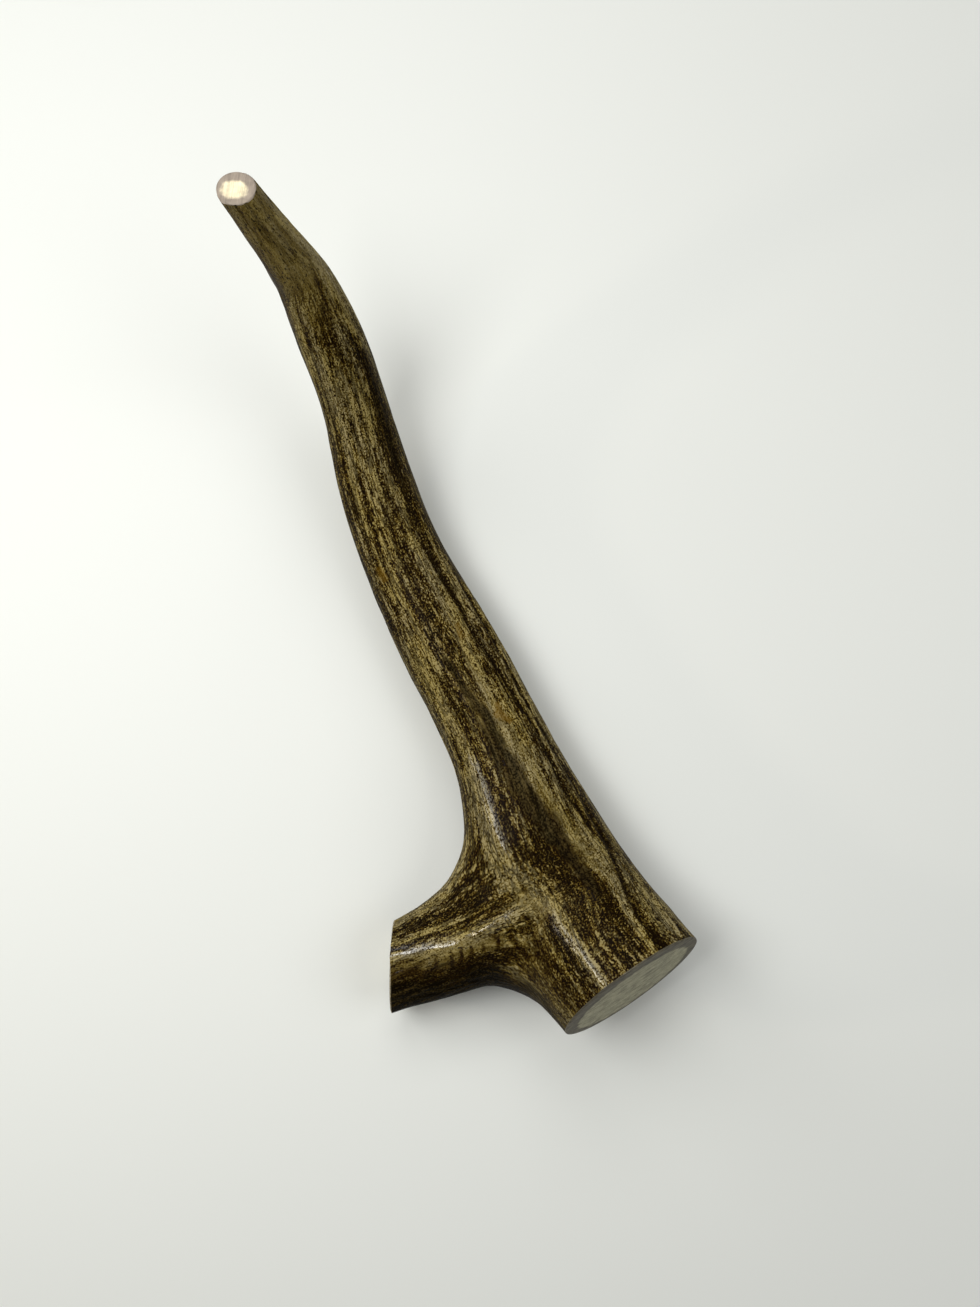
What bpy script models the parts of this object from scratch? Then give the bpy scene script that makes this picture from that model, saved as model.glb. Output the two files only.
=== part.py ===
"""A sawn piece of deer antler: the lower part of a main beam, with the stub of one side tine.

The antler grew as one piece, so its bark is worked out as one closed form, and that form is
then parted by a narrow gap where the tine leaves the beam. The piece lies as it rests on a
table: metres, +Z up, the beam's tip towards +Y, the tine towards -X. The origin is on the
table, under the middle of the piece.
"""

import bmesh
import bpy
import numpy as np

MM = 0.001

# The beam's centre line from the sawn base to the sawn tip, in millimetres.
# Each row is x, y, z, half the width and half the height of the antler there.
BEAM_STATIONS = (
    (39.0, -85.5, 30.5, 20.0, 17.0),
    (31.0, -76.0, 23.0, 20.0, 17.5),
    (24.5, -64.5, 18.0, 18.0, 16.0),
    (15.5, -48.5, 15.5, 17.0, 15.5),
    (9.5, -33.0, 13.5, 14.0, 13.0),
    (0.5, -13.5, 12.0, 13.0, 12.0),
    (-9.5, 5.0, 11.5, 12.5, 11.5),
    (-19.5, 25.0, 12.0, 11.0, 10.5),
    (-26.5, 44.5, 16.0, 10.0, 9.5),
    (-31.5, 63.5, 25.5, 8.5, 8.5),
    (-37.0, 77.5, 40.5, 8.0, 7.5),
    (-41.0, 85.0, 51.5, 6.5, 6.5),
    (-44.0, 88.0, 59.5, 5.5, 5.5),
    (-51.5, 94.5, 79.5, 4.0, 4.0),
)
FORK_STATION = 2

# The tine's centre line, from inside the beam at the fork to the tine's sawn end.
TINE_STATIONS = (
    (24.0, -63.5, 18.0, 13.0, 10.0),
    (13.0, -69.0, 16.5, 21.5, 13.5),
    (4.0, -73.0, 14.5, 16.0, 10.5),
    (-2.5, -76.5, 12.5, 14.0, 11.0),
    (-11.0, -81.0, 11.0, 12.5, 10.5),
    (-22.0, -85.5, 10.0, 11.0, 10.0),
)

# The way each saw cut faces: degrees round from +X, then degrees above the table.
BASE_CUT = (-55.0, 28.0)
TIP_CUT = (100.0, 77.0)
TINE_CUT = (179.0, -2.0)

# The two nodes part on a plane across the tine, this far along it from the fork.
PART_FROM_FORK = 28 * MM
PART_GAP = 0.3 * MM

# How the form is worked out. A limb is a row of soft, overlapping blobs: the larger the
# firmness, the closer the bark keeps to the stations. The larger the webbing, the wider the
# curve of bark in the two crotches of the fork.
BLOB_SPACING = 1.6 * MM
FIRMNESS = 9.0
WEBBING = 3.7
ROOM_PAST_CUT = 16 * MM
SEARCH_STEPS = 14

# The three seams of the fork, where the trunk, the shaft and the tine meet: the way each one
# faces in plan, from the centre of the fork.
OUTER_SEAM = (0.93, 0.37, 0.0)
LOWER_CROTCH = (-0.5, -0.866, 0.0)
UPPER_CROTCH = (-0.9, 0.43, 0.0)
UP = np.array((0.0, 0.0, 1.0))

AROUND = 40
TRUNK_RINGS = 12
SHAFT_RINGS = 46
TINE_RINGS = 16
TRUNK_TURN = 38 * MM
SHAFT_TURN = 50 * MM
TINE_TURN = 50 * MM
CUT_TURN = 22 * MM

BARK = (0.17, 0.12, 0.07, 1.0)
BARK_OF_TINE = (0.20, 0.15, 0.09, 1.0)
BARK_ROUGHNESS = 0.45
FINE_POINTS = 2000


def unit(vectors):
    """Vectors of length one, the same way."""
    vectors = np.asarray(vectors, float)
    return vectors / np.linalg.norm(vectors, axis=-1, keepdims=True)


def facing(degrees):
    """The unit vector a cut faces along, from its two angles."""
    turn, lift = np.radians(degrees)
    return np.array((np.cos(lift) * np.cos(turn), np.cos(lift) * np.sin(turn), np.sin(lift)))


def ease(share):
    """0 to 1 with a soft start and end."""
    share = np.clip(share, 0.0, 1.0)
    return share * share * (3.0 - 2.0 * share)


def natural_spline(knots, rows, where):
    """The smoothest curve through the rows, each at its knot, read at the places asked for."""
    count = len(knots)
    gaps = np.diff(knots)
    inner = np.arange(1, count - 1)
    system = np.eye(count)
    system[inner, inner - 1] = gaps[:-1]
    system[inner, inner] = 2.0 * (gaps[:-1] + gaps[1:])
    system[inner, inner + 1] = gaps[1:]
    slopes = np.diff(rows, axis=0) / gaps[:, None]
    bends = np.zeros_like(rows)
    bends[1:-1] = 6.0 * np.diff(slopes, axis=0)
    bends = np.linalg.solve(system, bends)
    span = np.clip(np.searchsorted(knots, where, side="right") - 1, 0, count - 2)
    along = (where - knots[span])[:, None]
    gap = gaps[span][:, None]
    first = slopes[span] - gap * (2.0 * bends[span] + bends[span + 1]) / 6.0
    third = (bends[span + 1] - bends[span]) / (6.0 * gap)
    return rows[span] + along * (first + along * (bends[span] / 2.0 + along * third))


def lengths_along(points):
    """The distance from the first point to each one, along the line through them."""
    return np.concatenate(([0.0], np.cumsum(np.linalg.norm(np.diff(points, axis=0), axis=1))))


def limb(stations, room_before, room_after):
    """A limb as evenly spaced samples of its centre line, run on straight past both ends.

    Each sample has its distance along the limb, its centre, the way the limb runs there,
    the way its side and its back face, and its half width and half height.
    """
    rows = np.array(stations) * MM
    knots = lengths_along(rows[:, :3])
    fine_places = np.linspace(0.0, knots[-1], FINE_POINTS)
    fine = natural_spline(knots, rows, fine_places)
    fine_lengths = lengths_along(fine[:, :3])
    length = fine_lengths[-1]
    count = int(round(length / BLOB_SPACING))
    spacing = length / count
    before = int(np.ceil(room_before / spacing))
    after = int(np.ceil(room_after / spacing))
    distance = spacing * np.arange(-before, count + after + 1)
    held = np.clip(distance, 0.0, length)
    rows = np.stack([np.interp(held, fine_lengths, column) for column in fine.T], axis=-1)
    runs_on = distance - held
    start_way = unit(fine[1, :3] - fine[0, :3])
    end_way = unit(fine[-1, :3] - fine[-2, :3])
    rows[:, :3] += np.where(runs_on[:, None] < 0.0, start_way, end_way) * runs_on[:, None]
    centre = rows[:, :3]
    way = unit(np.gradient(centre, axis=0))
    back = unit(UP - (way @ UP)[:, None] * way)
    return {
        "distance": distance,
        "length": length,
        "spacing": spacing,
        "centre": centre,
        "way": way,
        "side": np.cross(way, back),
        "back": back,
        "half_width": rows[:, 3],
        "half_height": rows[:, 4],
        "stations_at": np.interp(knots, fine_places, fine_lengths),
    }


def blob_sum(limb_samples, points):
    """The logarithm of the sum of the limb's blobs at each point: 0 on its bark, more inside."""
    width = limb_samples["half_width"]
    height = limb_samples["half_height"]
    mean = (width + height) / 2.0
    total = np.zeros((len(points), len(width)))
    for axis, reach in (("side", width), ("back", height), ("way", mean)):
        way = limb_samples[axis]
        offset = points @ way.T - np.einsum("ij,ij->i", limb_samples["centre"], way)
        total += (offset / reach) ** 2
    weight = limb_samples["spacing"] / mean * np.sqrt(FIRMNESS / np.pi)
    return np.log(np.exp(FIRMNESS * (1.0 - total)) @ weight + 1e-300)


def depth_inside(limbs, points):
    """0 on the bark of the whole antler, more inside: the limbs' sums, run softly together."""
    first, second = (blob_sum(samples, points) / WEBBING for samples in limbs)
    return WEBBING * np.logaddexp(first, second)


def reach_bark(limbs, origins, ways, first_guess):
    """The points of the bark seen from each origin along its unit vector.

    The sum falls off with the square of the distance, so growing that square by the share
    that is still missing settles on the bark in a few steps.
    """
    reach = first_guess.copy()
    for _ in range(SEARCH_STEPS):
        missing = depth_inside(limbs, origins + reach[:, None] * ways) / FIRMNESS
        reach *= np.sqrt(np.clip(1.0 + missing, 0.25, 2.5))
    return origins + reach[:, None] * ways


def rings(limbs, along, stops, fork_at, fork_turn, cut_at, cut_facing, right_seam, left_seam):
    """Rings of bark points round one limb, as an array of rings by points by x, y, z.

    Far from both ends a ring is square to the limb. Towards the cut it turns into the cut's
    plane, and towards the fork each half of it turns into one of the fork's seams. A ring
    starts at the limb's back and runs to its right, its belly and its left.
    """
    samples = limbs[along]
    centre, way, back, side = (
        np.stack([np.interp(stops, samples["distance"], column) for column in samples[name].T], -1)
        for name in ("centre", "way", "back", "side")
    )
    width = np.interp(stops, samples["distance"], samples["half_width"])
    angle = 2.0 * np.pi * np.arange(AROUND) / AROUND
    rise = np.cos(angle)
    swing = np.sin(angle)
    square = rise[:, None] * back[:, None] + swing[:, None] * side[:, None]

    near_cut = ease(1.0 - np.abs(stops - cut_at) / CUT_TURN)[:, None]
    outwards = cut_facing * np.sign(way @ cut_facing)[:, None]
    plane = unit(way * (1.0 - near_cut) + near_cut * outwards)
    slip = np.einsum("rac,rc->ra", square, plane) / np.einsum("rc,rc->r", way, plane)[:, None]
    square = unit(square - slip[..., None] * way[:, None])

    seam = np.where((swing > 0.0)[:, None], right_seam, left_seam)
    at_fork = rise[:, None] * UP + np.abs(swing)[:, None] * seam
    near_fork = np.clip(1.0 - np.abs(stops - fork_at) / fork_turn, 0.0, 1.0)
    near_fork = (ease(near_fork) + near_fork**2) / 2.0 * (1.0 - near_cut[:, 0])
    near_fork = near_fork[:, None, None]
    ways = unit((1.0 - near_fork) * square + near_fork * at_fork)

    origins = np.repeat(centre, AROUND, axis=0)
    points = reach_bark(limbs, origins, ways.reshape(-1, 3), np.repeat(width, AROUND))
    return points.reshape(len(stops), AROUND, 3)


def antler_rings():
    """The rings of the trunk, the shaft and the tine, which share points at the fork, then the limbs."""
    beam = limb(BEAM_STATIONS, ROOM_PAST_CUT, ROOM_PAST_CUT)
    tine = limb(TINE_STATIONS, 0.0, ROOM_PAST_CUT)
    limbs = (beam, tine)
    fork_at = beam["stations_at"][FORK_STATION]
    outer, lower, upper = (unit(way) for way in (OUTER_SEAM, LOWER_CROTCH, UPPER_CROTCH))

    stops = np.linspace(0.0, fork_at, TRUNK_RINGS + 1)
    trunk = rings(limbs, 0, stops, fork_at, TRUNK_TURN, 0.0, facing(BASE_CUT), outer, lower)
    stops = np.linspace(fork_at, beam["length"], SHAFT_RINGS + 1)
    shaft = rings(
        limbs, 0, stops, fork_at, SHAFT_TURN, beam["length"], facing(TIP_CUT), outer, upper
    )
    stops = np.linspace(0.0, tine["length"], TINE_RINGS + 1)
    side = rings(limbs, 1, stops, 0.0, TINE_TURN, tine["length"], facing(TINE_CUT), upper, lower)

    half = AROUND // 2
    shaft[0, : half + 1] = trunk[-1, : half + 1]
    side[0, half:] = trunk[-1, half:]
    side[0, 0] = trunk[-1, 0]
    side[0, 1:half] = shaft[0, :half:-1]
    return (trunk, shaft, side), beam, tine


def stand_on_table(parts):
    """The same rings with the lowest point at height 0 and the middle of the box at x = y = 0."""
    points = np.concatenate([part.reshape(-1, 3) for part in parts])
    low, high = points.min(axis=0), points.max(axis=0)
    origin = np.array(((low[0] + high[0]) / 2.0, (low[1] + high[1]) / 2.0, low[2]))
    return [part - origin for part in parts], origin


def add_skin(bm, ring_points):
    """Adds the rings of one limb to a mesh, joined by a skin of four-sided faces."""
    loops = [[bm.verts.new(point) for point in ring] for ring in ring_points]
    for lower, upper in zip(loops, loops[1:]):
        for i in range(AROUND):
            j = (i + 1) % AROUND
            bm.faces.new((lower[i], upper[i], upper[j], lower[j]))
    return loops


def whole_antler(trunk, shaft, side):
    """The antler's closed form, with a flat face on each of its three saw cuts."""
    bm = bmesh.new()
    base = add_skin(bm, trunk)[0]
    tip = add_skin(bm, shaft)[-1]
    tine_end = add_skin(bm, side)[-1]
    bm.faces.new(base)
    bm.faces.new(tip[::-1])
    bm.faces.new(tine_end[::-1])
    bmesh.ops.remove_doubles(bm, verts=bm.verts, dist=0.001 * MM)
    bmesh.ops.recalc_face_normals(bm, faces=bm.faces)
    return bm


def part_off(whole, point, way, keep_tine):
    """One side of the plane through the point, closed again with a flat face."""
    bm = whole.copy()
    geometry = bm.verts[:] + bm.edges[:] + bm.faces[:]
    half_gap = PART_GAP / 2.0 if keep_tine else -PART_GAP / 2.0
    cut = bmesh.ops.bisect_plane(
        bm,
        geom=geometry,
        plane_co=point + half_gap * way,
        plane_no=way,
        clear_inner=keep_tine,
        clear_outer=not keep_tine,
    )
    rim = [item for item in cut["geom_cut"] if isinstance(item, bmesh.types.BMEdge)]
    bmesh.ops.holes_fill(bm, edges=rim, sides=0)
    bmesh.ops.recalc_face_normals(bm, faces=bm.faces)
    bmesh.ops.triangulate(bm, faces=bm.faces)
    return bm


def bark_material(name, colour):
    """A plain antler colour with a slight polish."""
    material = bpy.data.materials.new(name)
    material.use_nodes = True
    shader = material.node_tree.nodes["Principled BSDF"]
    shader.inputs["Base Color"].default_value = colour
    shader.inputs["Roughness"].default_value = BARK_ROUGHNESS
    shader.inputs["Metallic"].default_value = 0.0
    return material


def add_node(name, bm, colour):
    """Puts a finished mesh into the scene under its node's name."""
    mesh = bpy.data.meshes.new(name)
    bm.to_mesh(mesh)
    bm.free()
    mesh.shade_smooth()
    mesh.set_sharp_from_angle(angle=np.radians(40.0))
    mesh.materials.append(bark_material(name, colour))
    node = bpy.data.objects.new(name, mesh)
    bpy.context.collection.objects.link(node)
    return node


def report_measures(parts, beam, tine, origin):
    """Prints the sizes and the middle of each saw cut, for the record."""
    trunk, shaft, side = parts
    for name, ring, angles in (
        ("base", trunk[0], BASE_CUT),
        ("tip", shaft[-1], TIP_CUT),
        ("tine", side[-1], TINE_CUT),
    ):
        middle = np.round(ring.mean(axis=0), 5)
        print(name, "cut: middle", middle.tolist(), "faces", np.round(facing(angles), 5).tolist())
    print("the beam runs", round(beam["length"] / MM, 1), "mm, the tine", round(tine["length"] / MM, 1))
    print("moved by", np.round(-origin / MM, 2).tolist(), "mm")


def main():
    for old in list(bpy.data.objects):
        bpy.data.objects.remove(old)
    parts, beam, tine = antler_rings()
    parts, origin = stand_on_table(parts)
    whole = whole_antler(*parts)
    split = np.argmin(np.abs(tine["distance"] - PART_FROM_FORK))
    point = tine["centre"][split] - origin
    way = tine["way"][split]
    add_node("main_beam", part_off(whole, point, way, keep_tine=False), BARK)
    add_node("side_tine", part_off(whole, point, way, keep_tine=True), BARK_OF_TINE)
    whole.free()
    report_measures(parts, beam, tine, origin)


main()
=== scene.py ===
# %% [markdown]
# # A sawn piece of deer antler
#
# The object is the lower part of a deer's main beam with the stub of one side tine. It grew as
# one bone, so its bark is one closed skin that runs from the trunk into the shaft and the tine,
# with three flat saw cuts. The CAD solids already hold its true size and place. This file loads
# them, works out a much finer skin on the same form, and gives it its furrows, its stains and
# its sawn faces.

import bpy
import numpy as np
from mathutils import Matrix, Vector


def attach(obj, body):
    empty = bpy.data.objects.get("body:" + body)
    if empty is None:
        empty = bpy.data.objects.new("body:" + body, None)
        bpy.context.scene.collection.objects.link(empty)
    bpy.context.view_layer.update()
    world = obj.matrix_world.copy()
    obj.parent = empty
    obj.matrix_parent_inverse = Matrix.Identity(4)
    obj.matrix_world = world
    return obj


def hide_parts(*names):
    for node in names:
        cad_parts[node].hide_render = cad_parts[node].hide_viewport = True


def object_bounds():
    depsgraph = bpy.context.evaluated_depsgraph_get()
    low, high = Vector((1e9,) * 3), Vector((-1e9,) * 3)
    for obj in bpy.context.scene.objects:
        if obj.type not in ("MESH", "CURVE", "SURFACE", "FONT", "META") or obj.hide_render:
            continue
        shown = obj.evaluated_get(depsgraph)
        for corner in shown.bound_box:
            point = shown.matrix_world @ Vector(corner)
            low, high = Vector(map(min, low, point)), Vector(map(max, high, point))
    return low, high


# One millimetre in metres, and one metre in millimetres
MM = 0.001
METRE = 1000.0

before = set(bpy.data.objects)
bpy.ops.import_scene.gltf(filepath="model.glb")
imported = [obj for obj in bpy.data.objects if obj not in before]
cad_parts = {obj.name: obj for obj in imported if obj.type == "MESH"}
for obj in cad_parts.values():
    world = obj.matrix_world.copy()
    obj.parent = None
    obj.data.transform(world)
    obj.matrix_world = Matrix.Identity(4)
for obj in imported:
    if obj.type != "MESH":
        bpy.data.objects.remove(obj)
CAD_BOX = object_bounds()
CAD_LOW, CAD_HIGH = (np.array(corner) * METRE for corner in CAD_BOX)
print("the solids span", np.round(CAD_HIGH - CAD_LOW, 1), "mm")

# %% [markdown]
# ## The camera
#
# The piece lies on a table and is seen from nearly straight above, from about 32 cm. A camera
# that near draws the raised tip larger than the beam on the table, so its height matters as much
# as its angle. Lengths in this file are in millimetres until a camera, a mesh or a lamp is made.

# %% Place the camera above the piece
PHOTO_HEIGHT_PIXELS = 1307.0
FOCAL_PIXELS = 1150.0
SENSOR = 36.0
CLIP_START = 20.0 * MM
CAMERA_AT = Vector((-6.0, -7.2, 319.8)) * MM
CAMERA_BACK = Vector((-0.0318, -0.0197, 1.0))


def new_object(name, data):
    """An object made from its data and linked to the scene."""
    made = bpy.data.objects.new(name, data)
    bpy.context.scene.collection.objects.link(made)
    return made


def put(made, place, turn):
    """Puts a camera or a lamp at a place, turned by a quaternion."""
    made.location = place
    made.rotation_mode = "QUATERNION"
    made.rotation_quaternion = turn


camera_data = bpy.data.cameras.new("camera above")
camera_data.sensor_width = SENSOR
camera_data.lens = SENSOR * FOCAL_PIXELS / PHOTO_HEIGHT_PIXELS
camera_data.clip_start = CLIP_START
camera = new_object("camera above", camera_data)
put(camera, CAMERA_AT, Vector((0.0, 0.0, 1.0)).rotation_difference(CAMERA_BACK))
bpy.context.scene.camera = camera
print("the lens is", round(camera_data.lens, 1), "mm")

# %% [markdown]
# ## The form: two limbs of soft blobs
#
# An antler swells, narrows and turns with no edge anywhere, and its fork has smooth, webbed
# crotches. It could be sculpted by hand or made from two tubes joined by a Boolean, but a
# Boolean leaves a crease at the fork. Here each limb is a row of overlapping soft blobs along
# its centre line, and the bark is where the blobs' sum falls to one level. Two such rows run
# together by themselves, as the bone does. The stations are those of the CAD solids.

# %% The stations of the two limbs: x, y, z, half the width, half the height
BEAM_STATIONS = (
    (39.0, -85.5, 30.5, 20.0, 17.0),
    (31.0, -76.0, 23.0, 20.0, 17.5),
    (24.5, -64.5, 18.0, 18.0, 16.0),
    (15.5, -48.5, 15.5, 17.0, 15.5),
    (9.5, -33.0, 13.5, 14.0, 13.0),
    (0.5, -13.5, 12.0, 13.0, 12.0),
    (-9.5, 5.0, 11.5, 12.5, 11.5),
    (-19.5, 25.0, 12.0, 11.0, 10.5),
    (-26.5, 44.5, 16.0, 10.0, 9.5),
    (-31.5, 63.5, 25.5, 8.5, 8.5),
    (-37.0, 77.5, 40.5, 8.0, 7.5),
    (-41.0, 85.0, 51.5, 6.5, 6.5),
    (-44.0, 88.0, 59.5, 5.5, 5.5),
    (-51.5, 94.5, 79.5, 4.0, 4.0),
)
TINE_STATIONS = (
    (24.0, -63.5, 18.0, 13.0, 10.0),
    (13.0, -69.0, 16.5, 21.5, 13.5),
    (4.0, -73.0, 14.5, 16.0, 10.5),
    (-2.5, -76.5, 12.5, 14.0, 11.0),
    (-11.0, -81.0, 11.0, 12.5, 10.5),
    (-22.0, -85.5, 10.0, 11.0, 10.0),
)
FORK_STATION = 2
BASE_CUT = (-55.0, 28.0)
TIP_CUT = (100.0, 77.0)
TINE_CUT = (179.0, -2.0)
print("stations:", len(BEAM_STATIONS), "on the beam and", len(TINE_STATIONS), "on the tine")

# %% Directions and soft steps
UP = np.array((0.0, 0.0, 1.0))


def unit(vectors):
    """Vectors of length one, the same way: each divided by its own length."""
    vectors = np.asarray(vectors, float)
    return vectors / np.linalg.norm(vectors, axis=-1, keepdims=True)


def ease(share):
    """0 to 1 with a soft start and end: 3 t squared less 2 t cubed, with t held from 0 to 1."""
    share = np.clip(share, 0.0, 1.0)
    return share * share * (3.0 - 2.0 * share)


def facing(degrees):
    """The unit vector a cut faces along, from its degrees round from +X and above the table."""
    turn, lift = np.radians(degrees)
    return np.array((np.cos(lift) * np.cos(turn), np.cos(lift) * np.sin(turn), np.sin(lift)))


print("the base faces along", np.round(facing(BASE_CUT), 2))


# %% A smooth line through the stations
def natural_spline(knots, rows, where):
    """The smoothest curve through the rows: cubics whose slopes and bends agree at each knot.

    The bend is 0 at both ends. Each inner knot gives one equation: the gap before times the bend
    before, plus twice both gaps times its own bend, plus the gap after times the bend after, is
    6 times the change of slope. At t past a knot the curve is the row, plus t times its first
    slope, plus t squared times half its bend, plus t cubed times a sixth of the bend's growth.
    """
    count = len(knots)
    gaps = np.diff(knots)
    inner = np.arange(1, count - 1)
    system = np.eye(count)
    system[inner, inner - 1] = gaps[:-1]
    system[inner, inner] = 2.0 * (gaps[:-1] + gaps[1:])
    system[inner, inner + 1] = gaps[1:]
    slopes = np.diff(rows, axis=0) / gaps[:, None]
    bends = np.zeros_like(rows)
    bends[1:-1] = 6.0 * np.diff(slopes, axis=0)
    bends = np.linalg.solve(system, bends)
    span = np.clip(np.searchsorted(knots, where, side="right") - 1, 0, count - 2)
    along = (where - knots[span])[:, None]
    gap = gaps[span][:, None]
    first = slopes[span] - gap * (2.0 * bends[span] + bends[span + 1]) / 6.0
    third = (bends[span + 1] - bends[span]) / (6.0 * gap)
    return rows[span] + along * (first + along * (bends[span] / 2.0 + along * third))


def lengths_along(points):
    """The distance from the first point to each one: the running sum of the steps between."""
    return np.concatenate(([0.0], np.cumsum(np.linalg.norm(np.diff(points, axis=0), axis=1))))


def rows_at(where, places, rows):
    """The rows at other places along them: each column runs straight between two rows."""
    return np.stack([np.interp(where, places, column) for column in rows.T], axis=-1)


beam_centres = np.array(BEAM_STATIONS)[:, :3]
print("the beam's stations lie over", round(lengths_along(beam_centres)[-1], 1), "mm")

# %% The two limbs as rows of samples
BLOB_SPACING = 1.6
ROOM_PAST_CUT = 16.0
FINE_POINTS = 2000


def limb(stations, room_before, room_after):
    """A limb as evenly spaced samples of its spline, run on straight past both ends.

    The way is the direction of the centre line, the back is what is left of straight up without
    its part along the way, and the side is the cross product of the way and the back.
    """
    rows = np.array(stations)
    knots = lengths_along(rows[:, :3])
    fine_places = np.linspace(0.0, knots[-1], FINE_POINTS)
    fine = natural_spline(knots, rows, fine_places)
    fine_lengths = lengths_along(fine[:, :3])
    length = fine_lengths[-1]
    count = int(round(length / BLOB_SPACING))
    spacing = length / count
    before = int(np.ceil(room_before / spacing))
    after = int(np.ceil(room_after / spacing))
    distance = spacing * np.arange(-before, count + after + 1)
    held = np.clip(distance, 0.0, length)
    rows = rows_at(held, fine_lengths, fine)
    runs_on = (distance - held)[:, None]
    start_way = unit(fine[1, :3] - fine[0, :3])
    end_way = unit(fine[-1, :3] - fine[-2, :3])
    rows[:, :3] += np.where(runs_on < 0.0, start_way, end_way) * runs_on
    way = unit(np.gradient(rows[:, :3], axis=0))
    back = unit(UP - (way @ UP)[:, None] * way)
    return {
        "distance": distance,
        "length": length,
        "spacing": spacing,
        "centre": rows[:, :3],
        "way": way,
        "side": np.cross(way, back),
        "back": back,
        "half_width": rows[:, 3],
        "half_height": rows[:, 4],
        "mean_radius": rows[:, 3:5].mean(axis=1),
        "stations_at": np.interp(knots, fine_places, fine_lengths),
    }


beam = limb(BEAM_STATIONS, ROOM_PAST_CUT, ROOM_PAST_CUT)
tine = limb(TINE_STATIONS, 0.0, ROOM_PAST_CUT)
print("the beam runs", round(beam["length"], 1), "mm, the tine", round(tine["length"], 1), "mm")

# %% The field of the blobs
FIRMNESS = 9.0
WEBBING = 3.7
CHUNK = 16384
LEAST_SUM = 1e-300


def monomials(points):
    """The ten products of x, y, z and 1 that a squared distance is made of, for each point."""
    x, y, z = points.T
    return np.stack([x * x, y * y, z * z, x * y, x * z, y * z, x, y, z, np.ones_like(x)], axis=-1)


def squared_distance(samples):
    """For each blob of a limb, what to multiply a point's ten monomials by.

    The distance is the sum of (offset / reach) squared along the limb's side, its back and its
    way. Each offset is a plane a x + b y + c z + d, so each square has ten terms.
    """
    reaches = {
        "side": samples["half_width"],
        "back": samples["half_height"],
        "way": samples["mean_radius"],
    }
    total = np.zeros((10, len(samples["distance"])))
    for name, reach in reaches.items():
        a, b, c = samples[name].T / reach
        d = -np.einsum("ij,ij->i", samples["centre"], samples[name]) / reach
        squares = (a * a, b * b, c * c, 2 * a * b, 2 * a * c, 2 * b * c)
        total += np.stack([*squares, 2 * a * d, 2 * b * d, 2 * c * d, d * d])
    return total


def in_chunks(function, *arrays):
    """A function of whole arrays, done some thousand rows at a time to spare memory."""
    starts = range(0, len(arrays[0]), CHUNK)
    parts = [function(*(array[start : start + CHUNK] for array in arrays)) for start in starts]
    return np.concatenate(parts)


def blob_sum(samples, points):
    """The logarithm of the sum of a limb's blobs: each its weight times e to firmness (1 - d)."""
    distance = monomials(points) @ samples["squared_distance"]
    return np.log(np.exp(FIRMNESS * (1.0 - distance)) @ samples["weight"] + LEAST_SUM)


def depth_inside(points):
    """0 on the bark and more inside: the limbs' sums to the power 1 / webbing, added together."""
    sums = (blob_sum(samples, points) / WEBBING for samples in (beam, tine))
    return WEBBING * np.logaddexp(*sums)


for samples in (beam, tine):
    share_of_reach = samples["spacing"] / samples["mean_radius"]
    samples["weight"] = share_of_reach * np.sqrt(FIRMNESS / np.pi)
    samples["squared_distance"] = squared_distance(samples)
print("blobs:", len(beam["distance"]), "in the beam and", len(tine["distance"]), "in the tine")

# %% [markdown]
# ## The skin: rings of points in three arms
#
# The skin needs one even net of points that closes round the fork. Three arms of rings do it:
# the trunk below the fork, the shaft above it and the tine. Far from both ends a ring lies
# square to its limb, at a saw cut it lies in the cut's plane, and at the fork each arm's last
# ring is made of two half arcs, which it shares with its two neighbours.

# %% Find the bark along a way
SEARCH_STEPS = 14
STEP_LIMITS = (0.25, 2.5)
FIRST_GUESS = 10.0


def reach_bark(origins, ways, reach):
    """The bark seen from each origin along its way.

    The sum falls off with the square of the reach, so each step grows that square by the share
    of depth that is still missing, within two limits.
    """
    for _ in range(SEARCH_STEPS):
        missing = depth_inside(origins + reach[:, None] * ways) / FIRMNESS
        reach = reach * np.sqrt(np.clip(1.0 + missing, *STEP_LIMITS))
    return origins + reach[:, None] * ways


middle_sample = len(beam["distance"]) // 2
middle_centre = beam["centre"][middle_sample]
found = reach_bark(middle_centre[None], UP[None], np.array([FIRST_GUESS]))
print("half way up, the bark lies", round(found[0, 2] - middle_centre[2], 1), "mm above the middle")

# %% Rings of points round one limb
AROUND = 192
CUT_TURN = 22.0


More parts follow.
